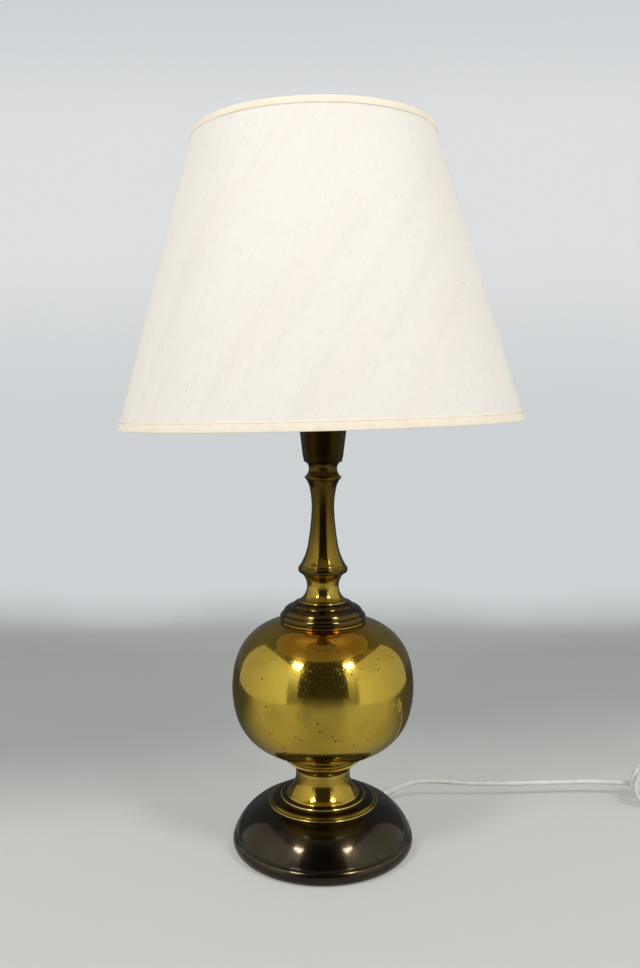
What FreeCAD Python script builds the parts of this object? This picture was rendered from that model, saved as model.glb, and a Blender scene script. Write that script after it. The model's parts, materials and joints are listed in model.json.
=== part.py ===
"""Table lamp: turned brass foot, ball and column on a threaded tube, tapered fabric shade.

Millimetres, +Z up. The origin is the centre of the underside, on the surface that the
lamp stands on. Every turned piece is drawn from its own seat, and the seats stack up
along the threaded tube.
"""
import FreeCAD
import Part
import math
import os
import Sketcher
from FreeCAD import Placement, Rotation, Vector

doc = FreeCAD.newDocument("TableLamp")

# Driving dimensions, grouped by piece.
SIZES = {
    # threaded tube and the holes that it passes through
    "rod_radius": 5.0,
    "rod_bore_radius": 3.9,
    "rod_hole_clearance": 0.2,
    "thread_clearance": 0.05,
    "rod_below_nut": 2.0,
    "rod_above_cup_nut": 9.0,
    # spun foot
    "foot_height": 47.4,
    "foot_wall": 1.3,
    "foot_lift": 0.5,
    "foot_rim_radius": 89.8,
    "foot_roll_spread": 2.6,
    "foot_roll_height": 13.4,
    "foot_roll_curve": 9.0,
    "foot_waist_step": 1.2,
    "foot_waist_height": 0.8,
    "foot_waist_band": 0.6,
    "foot_bead_width": 2.3,
    "foot_bead_curve": 1.25,
    "foot_dome_curve": 51.0,
    "foot_shoulder_radius": 56.4,
    # underside
    "felt_thickness": 0.9,
    "felt_margin": 0.9,
    "plate_thickness": 1.5,
    "plate_rim_clearance": 0.2,
    # iron weight with its nut and washer
    "weight_height": 20.0,
    "weight_top_radius": 53.0,
    "weight_side_radius": 62.0,
    "weight_shoulder_drop": 8.0,
    "washer_radius": 14.0,
    "washer_thickness": 1.6,
    "nut_radius": 9.8,
    "nut_thickness": 5.0,
    # stepped ring on the foot
    "ring_lip_radius": 57.0,
    "ring_lip_height": 1.6,
    "ring_lip_chamfer": 0.5,
    "ring_band_foot_radius": 55.2,
    "ring_band_radius": 45.0,
    "ring_band_height": 5.4,
    "ring_band_curve": 12.0,
    "ring_step_radius": 44.2,
    "ring_step_chamfer": 0.6,
    "ring_height": 7.4,
    "ring_bore_radius": 14.0,
    # lower neck
    "neck_toe_radius": 32.4,
    "neck_toe_height": 2.9,
    "neck_toe_curve": 1.5,
    "neck_root_radius": 31.6,
    "neck_root_height": 3.3,
    "neck_waist_radius": 28.7,
    "neck_flank_curve": 93.0,
    "neck_height": 26.4,
    "neck_bore_radius": 24.0,
    # saucer under the ball
    "saucer_stem_radius": 28.4,
    "saucer_cove_curve": 10.5,
    "saucer_under_radius": 37.2,
    "saucer_under_height": 9.6,
    "saucer_edge_radius": 38.5,
    "saucer_edge_height": 10.8,
    "saucer_waist_radius": 36.6,
    "saucer_waist_height": 12.8,
    "saucer_flank_curve": 24.0,
    "saucer_top_radius": 40.4,
    "saucer_height": 21.2,
    "saucer_bore_radius": 22.0,
    # ball
    "ball_radius": 93.6,
    "ball_wall": 1.0,
    "ball_belly_curve": 100.5,
    "ball_belly_half": 28.2,
    "ball_shoulder_curve": 55.13,
    # beaded cap on the ball
    "cap_lip_radius": 44.6,
    "cap_lip_height": 1.5,
    "cap_lip_chamfer": 0.5,
    "cap_groove_radius": 43.5,
    "cap_groove_height": 2.5,
    "cap_first_notch_radius": 41.7,
    "cap_first_notch_height": 8.8,
    "cap_first_bead_curve": 4.6,
    "cap_second_notch_radius": 32.5,
    "cap_second_notch_height": 16.2,
    "cap_second_bead_curve": 9.5,
    "cap_notch_depth": 0.5,
    "cap_third_bead_curve": 9.0,
    "cap_top_radius": 25.6,
    "cap_height": 21.0,
    "cap_bore_radius": 18.0,
    # bore of the cast column pieces
    "column_bore_radius": 8.0,
    # column foot
    "stem_root_radius": 24.8,
    "stem_root_height": 0.5,
    "stem_waist_radius": 16.3,
    "stem_waist_height": 15.4,
    "stem_lower_curve": 17.2,
    "stem_upper_curve": 18.4,
    "stem_top_radius": 23.2,
    "stem_height": 29.7,
    # knob
    "knob_radius": 24.2,
    "knob_height": 6.4,
    "knob_curve": 4.9,
    # tapering shaft
    "shaft_foot_radius": 24.0,
    "shaft_spread_curve": 60.0,
    "shaft_lower_radius": 15.4,
    "shaft_lower_height": 22.0,
    "shaft_taper_curve": 280.0,
    "shaft_waist_radius": 11.4,
    "shaft_waist_height": 61.0,
    "shaft_flare_curve": 110.0,
    "shaft_upper_radius": 13.6,
    "shaft_upper_height": 80.6,
    "shaft_cup_curve": 23.0,
    "shaft_top_radius": 18.4,
    "shaft_height": 90.2,
    # cove between shaft and cup
    "cove_disc_radius": 18.7,
    "cove_disc_height": 1.4,
    "cove_lower_curve": 10.6,
    "cove_waist_radius": 14.4,
    "cove_waist_height": 9.9,
    "cove_upper_curve": 7.7,
    "cove_top_radius": 18.4,
    "cove_height": 16.6,
    # cup round the lampholder
    "cup_foot_radius": 19.7,
    "cup_foot_height": 3.2,
    "cup_foot_round": 1.0,
    "cup_step_height": 5.0,
    "cup_step_radius": 20.5,
    "cup_rim_radius": 25.2,
    "cup_height": 44.0,
    "cup_wall": 1.1,
    # lampholder
    "holder_gap": 1.0,
    "holder_entry_radius": 7.6,
    "holder_entry_height": 10.0,
    "holder_cap_height": 9.0,
    "holder_cap_curve": 13.0,
    "holder_wall": 2.2,
    "sleeve_radius": 19.5,
    "sleeve_height": 44.0,
    "block_height": 8.0,
    "block_clearance": 0.1,
    "block_bore_radius": 3.4,
    "shell_radius": 13.5,
    "shell_wall": 0.4,
    "shell_height": 26.0,
    "shell_foot_radius": 9.0,
    "tongue_reach": 8.0,
    "tongue_foot": 4.0,
    "tongue_width": 5.0,
    "tongue_thickness": 0.8,
    "tongue_rise": 2.6,
    "terminal_radius": 1.8,
    "terminal_length": 5.0,
    "terminal_offset": 9.5,
    # rings that clamp the shade
    "rest_ring_below_top": 20.0,
    "rest_ring_thickness": 3.0,
    "rest_ring_radius": 27.6,
    "clamp_flange_radius": 27.6,
    "clamp_flange_thickness": 2.4,
    "clamp_collar_radius": 23.4,
    "clamp_height": 6.0,
    "clamp_clearance": 0.3,
    "grip_notch_radius": 1.0,
    # shade frame
    "hub_radius": 29.0,
    "hub_clearance": 0.5,
    "hub_thickness": 2.0,
    "hub_play": 0.15,
    "arm_radius": 1.4,
    "arm_root_inset": 0.9,
    "wire_radius": 1.5,
    "shade_tilt": 1.7,
    # shade
    "shade_bottom_radius": 200.0,
    "shade_top_radius": 120.1,
    "shade_height": 282.0,
    "shade_recess": 14.4,
    "panel_thickness": 0.8,
    "trim_height": 8.5,
    "trim_thickness": 0.5,
    "trim_clearance": 0.1,
    "arm_slot_clearance": 0.4,
    # bulb
    "bulb_tip_gap": 0.3,
    "bulb_contact_radius": 4.5,
    "bulb_contact_height": 1.6,
    "bulb_insulator_radius": 9.0,
    "bulb_insulator_height": 3.0,
    "bulb_cap_radius": 13.1,
    "bulb_cap_height": 22.0,
    "bulb_cap_wall": 0.4,
    "bulb_thread_depth": 0.6,
    "bulb_thread_pitch": 3.6,
    "bulb_neck_base_radius": 12.4,
    "bulb_neck_radius": 14.0,
    "bulb_neck_height": 8.0,
    "bulb_flank_curve": 45.0,
    "bulb_globe_radius": 30.0,
    "bulb_globe_height": 50.0,
    "bulb_glass_wall": 0.6,
    "mount_clearance": 0.1,
    "mount_flare_height": 0.8,
    "mount_flare_curve": 9.0,
    "mount_shoulder_height": 12.0,
    "mount_radius": 5.0,
    "mount_tip_radius": 2.6,
    "mount_height": 34.0,
    "lead_radius": 0.4,
    "lead_length": 18.0,
    "lead_offset": 1.6,
    "coil_radius": 0.5,
    # cord and its bush
    "cord_radius": 2.7,
    "bush_bore_clearance": 0.1,
    "bush_height": 24.0,
    "bush_azimuth": 43.0,
    "bush_hole_radius": 4.2,
    "bush_hole_clearance": 0.1,
    "bush_flange_radius": 4.8,
    "bush_flange_thickness": 1.4,
    "bush_seat_inset": 0.6,
    "bush_tip_radius": 3.4,
    "bush_length": 20.0,
    "bush_inside": 6.0,
    "inner_floor_gap": 0.6,
    "inner_bend_radius": 74.0,
    "inner_slope_radius": 58.0,
    "inner_turn_radius": 37.0,
    "inner_above_rod": 3.0,
    # hank
    "hank_centre_x": 428.0,
    "hank_back_y": 103.2,
    "hank_inner_level": 16.2,
    "hank_level_step": 3.5,
    "hank_layer_step": 6.2,
    "hank_half_run": 50.0,
    "hank_waist_half": 4.0,
    "hank_pinch": 13.0,
    "hank_lift": 0.1,
    "tie_thickness": 0.9,
    "tie_width": 4.0,
    "tie_clearance": 0.3,
    # plug
    "plug_run": 15.0,
    "plug_length": 33.0,
    "plug_width": 35.3,
    "plug_thickness": 13.7,
    "plug_shoulder_length": 17.0,
    "plug_neck_width": 12.0,
    "plug_edge_round": 2.4,
    "relief_length": 20.0,
    "relief_root_radius": 4.6,
    "relief_tip_radius": 3.4,
    "pin_radius": 2.0,
    "pin_length": 19.0,
    "pin_spacing": 18.6,
}

ARM_COUNT = 3
ARM_START_ANGLE = 60.0
GRIP_COUNT = 24
HEX_SIDES = 6
THREAD_RIDGES = 5
FULL_TURN = 360.0
BULB_JOIN_SHARE = 0.57
RIDGE_CURVE_SHARE = 0.75
INNER_DROP_SHARE = 0.42
ARC_SHARE = 0.45

# Free cord from the tip of its bush to the hank, then from the hank to the plug. The
# first and the last point of each stretch come from the pieces that it meets.
CORD_ROUTE = [
    (97.6, 91.0, 24.0),
    (112.5, 100.0, 23.2),
    (134.0, 104.4, 21.2),
    (166.0, 104.0, 18.6),
    (210.0, 106.5, 17.2),
    (258.0, 109.4, 17.0),
    (304.0, 111.0, 18.0),
    (344.0, 109.6, 17.4),
    (378.0, 105.4, 16.4),
    (402.0, 103.2, 15.8),
]
TAIL_ROUTE = [
    (448.0, 72.2, 15.8),
    (468.0, 70.0, 13.0),
    (487.0, 65.0, 9.0),
    (503.0, 58.0, 6.9),
]
PLUG_PLACE = (524.0, 33.0)
PLUG_HEADING = -55.0


class Size:
    """A number, with the expression that gives it from the sheet."""

    def __init__(self, value, text):
        self.value = value
        self.text = text

    def __add__(self, other):
        return Size(self.value + number(other), f"({self.text} + {number_text(other)})")

    def __sub__(self, other):
        return Size(self.value - number(other), f"({self.text} - {number_text(other)})")

    def __rsub__(self, other):
        return Size(number(other) - self.value, f"({number_text(other)} - {self.text})")

    def __mul__(self, other):
        return Size(self.value * number(other), f"({self.text} * {number_text(other)})")

    __radd__ = __add__
    __rmul__ = __mul__

    def __truediv__(self, other):
        return Size(self.value / number(other), f"({self.text} / {number_text(other)})")


def number(item):
    return item.value if isinstance(item, Size) else item


def number_text(item):
    return item.text if isinstance(item, Size) else repr(item)


def root(size):
    return Size(math.sqrt(size.value), f"sqrt({size.text})")


def sine(angle):
    return Size(math.sin(math.radians(angle.value)), f"sin({angle.text} * 1 deg)")


def cosine(angle):
    return Size(math.cos(math.radians(angle.value)), f"cos({angle.text} * 1 deg)")


class Sheet:
    """The spreadsheet: one row for each size, read back by its name."""

    def __init__(self, rows):
        self.rows = rows
        self.sheet = doc.addObject("Spreadsheet::Sheet", "Sizes")
        for row, (alias, value) in enumerate(rows.items(), start=1):
            self.sheet.set(f"A{row}", alias)
            self.sheet.set(f"B{row}", str(value))
            self.sheet.setAlias(f"B{row}", alias)

    def __getattr__(self, alias):
        return Size(self.rows[alias], f"Sizes.{alias}")


s = Sheet(SIZES)
doc.recompute()
ZERO = Size(0.0, "0")
nodes = []


def keep(thing, label):
    thing.Label = label
    nodes.append(thing)
    return thing


def bind(thing, path, size):
    thing.setExpression(path, number_text(size))


def origin_feature(body, role):
    return next(item for item in body.Origin.OriginFeatures if item.Role == role)


def line(across, up):
    return (across, up, None, 0)


def bulge(across, up, curve):
    """An arc whose centre lies on the left of the way along the outline."""
    return (across, up, curve, 1)


def hollow(across, up, curve):
    """An arc whose centre lies on the right of the way along the outline."""
    return (across, up, curve, -1)


def arc_between(start, end, curve, side):
    chord = end - start
    across = Vector(-chord.y, chord.x, 0).normalize() * side
    depth = math.sqrt(max(curve ** 2 - (chord.Length / 2) ** 2, 0))
    centre = (start + end) / 2 + across * depth
    first, last = (start, end) if side > 0 else (end, start)
    begin = math.atan2(first.y - centre.y, first.x - centre.x)
    finish = math.atan2(last.y - centre.y, last.x - centre.x)
    if finish < begin:
        finish += 2 * math.pi
    return Part.ArcOfCircle(Part.Circle(centre, Vector(0, 0, 1), curve), begin, finish)


def pin_vertex(sketch, edge, end, across, up):
    """Bind one point of a sketch to its two sizes."""
    for kind, axis, size in (("DistanceX", -2, across), ("DistanceY", -1, up)):
        if number(size) == 0:
            sketch.addConstraint(Sketcher.Constraint("PointOnObject", edge, end, axis))
            continue
        index = sketch.addConstraint(Sketcher.Constraint(kind, -1, 1, edge, end, number(size)))
        bind(sketch, f"Constraints[{index}]", size)


def new_sketch(body, role, name):
    sketch = body.newObject("Sketcher::SketchObject", f"{body.Name}{name}")
    sketch.AttachmentSupport = [(origin_feature(body, role), "")]
    sketch.MapMode = "FlatFace"
    sketch.Visibility = False
    return sketch


def outline_sketch(body, role, start, steps):
    """A closed outline on one of the body's planes, bound corner by corner."""
    sketch = new_sketch(body, role, "Outline")
    corners = [start] + [step[:2] for step in steps]
    ends = []
    for index, (across, up, curve, side) in enumerate(steps + [line(*start)]):
        first = Vector(number(corners[index][0]), number(corners[index][1]), 0)
        last = Vector(number(across), number(up), 0)
        if curve is None:
            edge = sketch.addGeometry(Part.LineSegment(first, last), False)
        else:
            edge = sketch.addGeometry(arc_between(first, last, number(curve), side), False)
            radius = sketch.addConstraint(Sketcher.Constraint("Radius", edge, number(curve)))
            bind(sketch, f"Constraints[{radius}]", curve)
        ends.append((edge, 2, 1) if side < 0 else (edge, 1, 2))
    for index, (edge, begin, finish) in enumerate(ends):
        following, next_begin, _ = ends[(index + 1) % len(ends)]
        sketch.addConstraint(Sketcher.Constraint("Coincident", edge, finish, following, next_begin))
        pin_vertex(sketch, edge, begin, *corners[index])
    return sketch


def turned(label, seat, start, steps, axis="V_Axis"):
    """A piece of revolution that stands on its seat, or lies along X when axis is H_Axis."""
    body = doc.addObject("PartDesign::Body", label)
    spin = body.newObject("PartDesign::Revolution", f"{label}Turned")
    spin.Profile = outline_sketch(body, "XZ_Plane", start, steps)
    spin.ReferenceAxis = (spin.Profile[0], [axis])
    spin.Angle = FULL_TURN
    bind(body, ".Placement.Base.z", seat)
    return keep(body, label)


def washer(label, seat, inner, outer, thickness):
    steps = [line(outer, ZERO), line(outer, thickness), line(inner, thickness)]
    return turned(label, seat, (inner, ZERO), steps)


def cylinder(label, radius, height):
    post = doc.addObject("Part::Cylinder", label)
    bind(post, "Radius", radius)
    bind(post, "Height", height)
    return post


def hex_nut(label, seat):
    prism = doc.addObject("Part::Prism", f"{label}Prism")
    prism.Polygon = HEX_SIDES
    bind(prism, "Circumradius", s.nut_radius)
    bind(prism, "Height", s.nut_thickness)
    nut = doc.addObject("Part::Cut", label)
    nut.Base = prism
    nut.Tool = cylinder(f"{label}Hole", s.rod_radius + s.thread_clearance, s.nut_thickness)
    bind(nut, ".Placement.Base.z", seat)
    return keep(nut, label)


def round_pocket(body, role, name, across, up, radius, depth, copies):
    """A round hole cut along the plane's normal, and its copies round the upright axis."""
    sketch = new_sketch(body, role, name)
    centre = Vector(number(across), number(up), 0)
    sketch.addGeometry(Part.Circle(centre, Vector(0, 0, 1), number(radius)), False)
    width = sketch.addConstraint(Sketcher.Constraint("Radius", 0, number(radius)))
    bind(sketch, f"Constraints[{width}]", radius)
    pin_vertex(sketch, 0, 3, across, up)
    pocket = body.newObject("PartDesign::Pocket", f"{body.Name}{name}Cut")
    pocket.Profile = sketch
    pocket.Reversed = True
    bind(pocket, "Length", depth)
    if copies == 1:
        return
    pattern = body.newObject("PartDesign::PolarPattern", f"{body.Name}{name}Ring")
    pattern.Originals = [pocket]
    pattern.Axis = (origin_feature(body, "Z_Axis"), [""])
    pattern.Angle = FULL_TURN
    pattern.Occurrences = copies
    body.Tip = pattern


def turn_about_z(thing, angle):
    thing.Placement = Placement(thing.Placement.Base, Rotation(Vector(0, 0, 1), number(angle)))


# Seats along the threaded tube, from the floor up.
rod_hole = s.rod_radius + s.rod_hole_clearance
foot_inside_top = s.foot_height - s.foot_wall
weight_seat = foot_inside_top - s.weight_height
washer_seat = weight_seat - s.washer_thickness
nut_seat = washer_seat - s.nut_thickness
rod_seat = nut_seat - s.rod_below_nut
neck_seat = s.foot_height + s.ring_height
saucer_seat = neck_seat + s.neck_height
ball_seat = saucer_seat + s.saucer_height
belly_sine = s.ball_belly_half / s.ball_belly_curve
belly_cosine = root(1 - belly_sine * belly_sine)
ball_height = (s.ball_belly_half + s.ball_shoulder_curve * (1 - belly_sine)) * 2
cap_seat = ball_seat + ball_height
stem_seat = cap_seat + s.cap_height
knob_seat = stem_seat + s.stem_height
shaft_seat = knob_seat + s.knob_height
cove_seat = shaft_seat + s.shaft_height
cup_seat = cove_seat + s.cove_height
cup_nut_seat = cup_seat + s.cup_wall
rod_top = cup_nut_seat + s.nut_thickness + s.rod_above_cup_nut
holder_seat = cup_nut_seat + s.nut_thickness + s.holder_gap
holder_cap_top = s.holder_entry_height + s.holder_cap_height
sleeve_seat = holder_seat + holder_cap_top
sleeve_top = sleeve_seat + s.sleeve_height
sleeve_inside = s.sleeve_radius - s.holder_wall
shell_seat = sleeve_seat + s.block_height
rest_ring_seat = sleeve_top - s.rest_ring_below_top
hub_seat = rest_ring_seat + s.rest_ring_thickness + s.hub_play
clamp_seat = hub_seat + s.hub_thickness + s.hub_play
hub_middle = hub_seat + s.hub_thickness / 2
bulb_seat = shell_seat + s.tongue_rise + s.tongue_thickness + s.bulb_tip_gap
foot_roll_top = s.foot_rim_radius + s.foot_roll_spread
foot_waist = foot_roll_top - s.foot_waist_step
bush_seat = foot_waist - s.bush_seat_inset
bush_tip = bush_seat + s.bush_length


def make_foot():
    waist_start = s.foot_roll_height + s.foot_waist_height
    bead_start = waist_start + s.foot_waist_band
    dome_start = bead_start + s.foot_bead_width
    inner_waist = foot_waist - s.foot_wall
    steps = [
        hollow(s.foot_rim_radius - s.foot_wall, s.foot_lift, s.foot_roll_curve),
        line(s.foot_rim_radius, s.foot_lift),
        bulge(foot_roll_top, s.foot_roll_height, s.foot_roll_curve),
        line(foot_waist, waist_start),
        line(foot_waist, bead_start),
        bulge(foot_waist, dome_start, s.foot_bead_curve),
        bulge(s.foot_shoulder_radius, s.foot_height, s.foot_dome_curve),
        line(rod_hole, s.foot_height),
        line(rod_hole, foot_inside_top),
        line(s.foot_shoulder_radius - s.foot_wall / 2, foot_inside_top),
        hollow(inner_waist, dome_start, s.foot_dome_curve - s.foot_wall),
    ]
    foot = turned("base_foot", ZERO, (inner_waist, s.foot_roll_height), steps)
    hole = s.bush_hole_radius + s.bush_hole_clearance
    round_pocket(foot, "YZ_Plane", "BushHole", ZERO, s.bush_height, hole, bush_tip, 1)
    turn_about_z(foot, s.bush_azimuth)


def make_underside():
    plate_radius = s.foot_rim_radius - s.foot_wall - s.plate_rim_clearance
    washer("base_felt", ZERO, ZERO, plate_radius - s.felt_margin, s.felt_thickness)
    washer("base_plate", s.felt_thickness, ZERO, plate_radius, s.plate_thickness)
    side_height = s.weight_height - s.weight_shoulder_drop
    steps = [
        line(s.weight_side_radius, ZERO),
        line(s.weight_side_radius, side_height),
        line(s.weight_top_radius, s.weight_height),
        line(rod_hole, s.weight_height),
    ]
    turned("base_weight", weight_seat, (rod_hole, ZERO), steps)
    washer("base_washer", washer_seat, rod_hole, s.washer_radius, s.washer_thickness)
    hex_nut("base_nut", nut_seat)


def make_rod():
    washer("lamp_rod", rod_seat, s.rod_bore_radius, s.rod_radius, rod_top - rod_seat)
    hex_nut("cup_nut", cup_nut_seat)


def make_foot_ring():
    lip = s.ring_lip_radius - s.ring_lip_chamfer
    steps = [
        line(lip, ZERO),
        line(s.ring_lip_radius, s.ring_lip_chamfer),
        line(s.ring_lip_radius, s.ring_lip_height - s.ring_lip_chamfer),
        line(lip, s.ring_lip_height),
        line(s.ring_band_foot_radius, s.ring_lip_height),
        bulge(s.ring_band_radius, s.ring_band_height, s.ring_band_curve),
        line(s.ring_step_radius, s.ring_band_height),
        line(s.ring_step_radius, s.ring_height - s.ring_step_chamfer),
        line(s.ring_step_radius - s.ring_step_chamfer, s.ring_height),
        line(s.ring_bore_radius, s.ring_height),
    ]
    turned("foot_ring", s.foot_height, (s.ring_bore_radius, ZERO), steps)


def make_neck():
    steps = [
        line(s.neck_toe_radius, ZERO),
        bulge(s.neck_toe_radius, s.neck_toe_height, s.neck_toe_curve),
        line(s.neck_root_radius, s.neck_root_height),
        hollow(s.neck_waist_radius, s.neck_height, s.neck_flank_curve),
        line(s.neck_bore_radius, s.neck_height),
    ]
    turned("foot_neck", neck_seat, (s.neck_bore_radius, ZERO), steps)


def make_saucer():
    steps = [
        line(s.saucer_stem_radius, ZERO),
        hollow(s.saucer_under_radius, s.saucer_under_height, s.saucer_cove_curve),
        line(s.saucer_edge_radius, s.saucer_edge_height),
        line(s.saucer_waist_radius, s.saucer_waist_height),
        hollow(s.saucer_top_radius, s.saucer_height, s.saucer_flank_curve),
        line(s.saucer_bore_radius, s.saucer_height),
    ]
    turned("ball_saucer", saucer_seat, (s.saucer_bore_radius, ZERO), steps)


def ball_wall(inset):
    """The ball's flat radius, the corner where shoulder meets belly, and both arcs."""
    belly = s.ball_belly_curve - inset
    shoulder = s.ball_shoulder_curve - inset
    corner_radius = s.ball_radius - s.ball_belly_curve + belly * belly_cosine
    corner_height = ball_height / 2 - belly * belly_sine
    flat = corner_radius - shoulder * belly_cosine
    return flat, corner_radius, corner_height, belly, shoulder


def make_ball():
    flat, side, low, belly, shoulder = ball_wall(ZERO)
    inner_flat, inner_side, inner_low, inner_belly, inner_shoulder = ball_wall(s.ball_wall)
    steps = [
        line(flat, ZERO),
        bulge(side, low, shoulder),
        bulge(side, ball_height - low, belly),
        bulge(flat, ball_height, shoulder),
        line(rod_hole, ball_height),
        line(rod_hole, ball_height - s.ball_wall),
        line(inner_flat, ball_height - s.ball_wall),
        hollow(inner_side, ball_height - inner_low, inner_shoulder),
        hollow(inner_side, inner_low, inner_belly),
        hollow(inner_flat, s.ball_wall, inner_shoulder),
        line(rod_hole, s.ball_wall),
    ]
    turned("ball_body", ball_seat, (rod_hole, ZERO), steps)


def make_cap():
    second_start = s.cap_first_notch_radius - s.cap_notch_depth
    third_start = s.cap_second_notch_radius - s.cap_notch_depth
    steps = [
        line(s.cap_lip_radius - s.cap_lip_chamfer, ZERO),
        line(s.cap_lip_radius, s.cap_lip_chamfer),
        line(s.cap_lip_radius, s.cap_lip_height),
        line(s.cap_groove_radius, s.cap_lip_height),
        line(s.cap_groove_radius, s.cap_groove_height),
        bulge(s.cap_first_notch_radius, s.cap_first_notch_height, s.cap_first_bead_curve),
        line(second_start, s.cap_first_notch_height),
        bulge(s.cap_second_notch_radius, s.cap_second_notch_height, s.cap_second_bead_curve),
        line(third_start, s.cap_second_notch_height),
        bulge(s.cap_top_radius, s.cap_height, s.cap_third_bead_curve),
        line(s.cap_bore_radius, s.cap_height),
    ]
    turned("ball_cap", cap_seat, (s.cap_bore_radius, ZERO), steps)


def make_column():
    bore = s.column_bore_radius
    stem = [
        line(s.stem_root_radius, ZERO),
        line(s.stem_root_radius, s.stem_root_height),
        hollow(s.stem_waist_radius, s.stem_waist_height, s.stem_lower_curve),
        hollow(s.stem_top_radius, s.stem_height, s.stem_upper_curve),
        line(bore, s.stem_height),
    ]
    turned("column_stem", stem_seat, (bore, ZERO), stem)
    knob = [
        line(s.knob_radius, ZERO),
        bulge(s.knob_radius, s.knob_height, s.knob_curve),
        line(bore, s.knob_height),
    ]
    turned("column_knob", knob_seat, (bore, ZERO), knob)
    shaft = [
        line(s.shaft_foot_radius, ZERO),
        hollow(s.shaft_lower_radius, s.shaft_lower_height, s.shaft_spread_curve),
        hollow(s.shaft_waist_radius, s.shaft_waist_height, s.shaft_taper_curve),
        hollow(s.shaft_upper_radius, s.shaft_upper_height, s.shaft_flare_curve),
        hollow(s.shaft_top_radius, s.shaft_height, s.shaft_cup_curve),
        line(bore, s.shaft_height),
    ]
    turned("column_shaft", shaft_seat, (bore, ZERO), shaft)
    cove = [
        line(s.cove_disc_radius, ZERO),
        line(s.cove_disc_radius, s.cove_disc_height),
        hollow(s.cove_waist_radius, s.cove_waist_height, s.cove_lower_curve),
        hollow(s.cove_top_radius, s.cove_height, s.cove_upper_curve),
        line(bore, s.cove_height),
    ]
    turned("column_cove", cove_seat, (bore, ZERO), cove)


def make_cup():
    steps = [
        line(s.cup_foot_radius - s.cup_foot_round, ZERO),
        bulge(s.cup_foot_radius, s.cup_foot_round, s.cup_foot_round),
        line(s.cup_foot_radius, s.cup_foot_height),
        line(s.cup_step_radius, s.cup_step_height),
        line(s.cup_rim_radius, s.cup_height),
        line(s.cup_rim_radius - s.cup_wall, s.cup_height),
        line(s.cup_step_radius - s.cup_wall, s.cup_step_height),
        line(s.cup_foot_radius - s.cup_wall, s.cup_wall),
        line(rod_hole, s.cup_wall),
    ]
    turned("socket_cup", cup_seat, (rod_hole, ZERO), steps)


def make_lampholder():
    entry = s.rod_radius + s.thread_clearance
    floor = s.holder_entry_height + s.holder_wall
    inner_curve = s.holder_cap_curve - s.holder_wall
    steps = [
        line(s.holder_entry_radius, ZERO),
        line(s.holder_entry_radius, s.holder_entry_height),
        bulge(s.sleeve_radius, holder_cap_top, s.holder_cap_curve),
        line(sleeve_inside, holder_cap_top),
        hollow(s.holder_entry_radius, floor, inner_curve),
        line(entry, floor),
    ]
    turned("holder_cap", holder_seat, (entry, ZERO), steps)
    washer("holder_sleeve", sleeve_seat, sleeve_inside, s.sleeve_radius, s.sleeve_height)
    block_radius = sleeve_inside - s.block_clearance
    washer("holder_block", sleeve_seat, s.block_bore_radius, block_radius, s.block_height)
    shell_outside = s.shell_radius + s.shell_wall
    shell = [
        line(shell_outside, ZERO),
        line(shell_outside, s.shell_height),
        line(s.shell_radius, s.shell_height),
        line(s.shell_radius, s.shell_wall),
        line(s.shell_foot_radius, s.shell_wall),
    ]
    turned("screw_shell", shell_seat, (s.shell_foot_radius, ZERO), shell)
    make_tongue()
    make_terminals()


def make_tongue():
    body = doc.addObject("PartDesign::Body", "contact_tongue")
    rise = s.tongue_rise
    thick = s.tongue_thickness
    foot_end = s.tongue_foot - s.tongue_reach
    tip = s.tongue_foot
    steps = [
        line(foot_end, ZERO),
        line(tip - s.tongue_foot / 2, rise),
        line(tip, rise),
        line(tip, rise + thick),
        line(tip - s.tongue_foot / 2 - thick / 2, rise + thick),
        line(foot_end - thick / 2, thick),
        line(ZERO - s.tongue_reach, thick),
    ]
    pad = body.newObject("PartDesign::Pad", "contact_tonguePad")
    pad.Profile = outline_sketch(body, "XZ_Plane", (ZERO - s.tongue_reach, ZERO), steps)
    pad.SideType = "Symmetric"
    bind(pad, "Length", s.tongue_width)
    bind(body, ".Placement.Base.z", shell_seat)
    keep(body, "contact_tongue")


def make_terminals():
    screws = []
    for side, name in ((-1, "Left"), (1, "Right")):
        screw = cylinder(f"terminal{name}", s.terminal_radius, s.terminal_length)
        bind(screw, ".Placement.Base.x", s.terminal_offset * side)
        bind(screw, ".Placement.Base.z", sleeve_seat - s.terminal_length)
        screws.append(screw)
    pair = doc.addObject("Part::Compound", "terminal_screws")
    pair.Links = screws
    keep(pair, "terminal_screws")


def make_clamp_rings():
    thread = s.sleeve_radius + s.thread_clearance
    rest_thickness = s.rest_ring_thickness
    washer("shade_rest_ring", rest_ring_seat, thread, s.rest_ring_radius, rest_thickness)
    bore = s.sleeve_radius + s.clamp_clearance
    steps = [
        line(s.clamp_flange_radius, ZERO),
        line(s.clamp_flange_radius, s.clamp_flange_thickness),
        line(s.clamp_collar_radius, s.clamp_flange_thickness),
        line(s.clamp_collar_radius, s.clamp_height),
        line(bore, s.clamp_height),
    ]
    clamp = turned("shade_clamp_ring", clamp_seat, (bore, ZERO), steps)
    edge = s.clamp_flange_radius
    depth = s.clamp_flange_thickness
    round_pocket(clamp, "XY_Plane", "Grip", edge, ZERO, s.grip_notch_radius, depth, GRIP_COUNT)


# The shade's own frame: its origin is the middle of the shade's bottom edge, and it leans
# by the tilt about the middle of the hub.
cone_slope = (s.shade_bottom_radius - s.shade_top_radius) / s.shade_height
panel_inset = s.trim_thickness + s.trim_clearance
panel_low = panel_inset
panel_high = s.shade_height - panel_inset
wire_inset = panel_inset + s.panel_thickness + s.trim_clearance + s.wire_radius * (1 + cone_slope)
lining_inset = wire_inset + s.wire_radius * (1 + cone_slope) + s.trim_clearance
low_wire_height = panel_inset + s.wire_radius
high_wire_height = s.shade_height - panel_inset - s.wire_radius


def cone_radius(height, inset=ZERO):
    return s.shade_bottom_radius - cone_slope * height - inset


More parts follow.
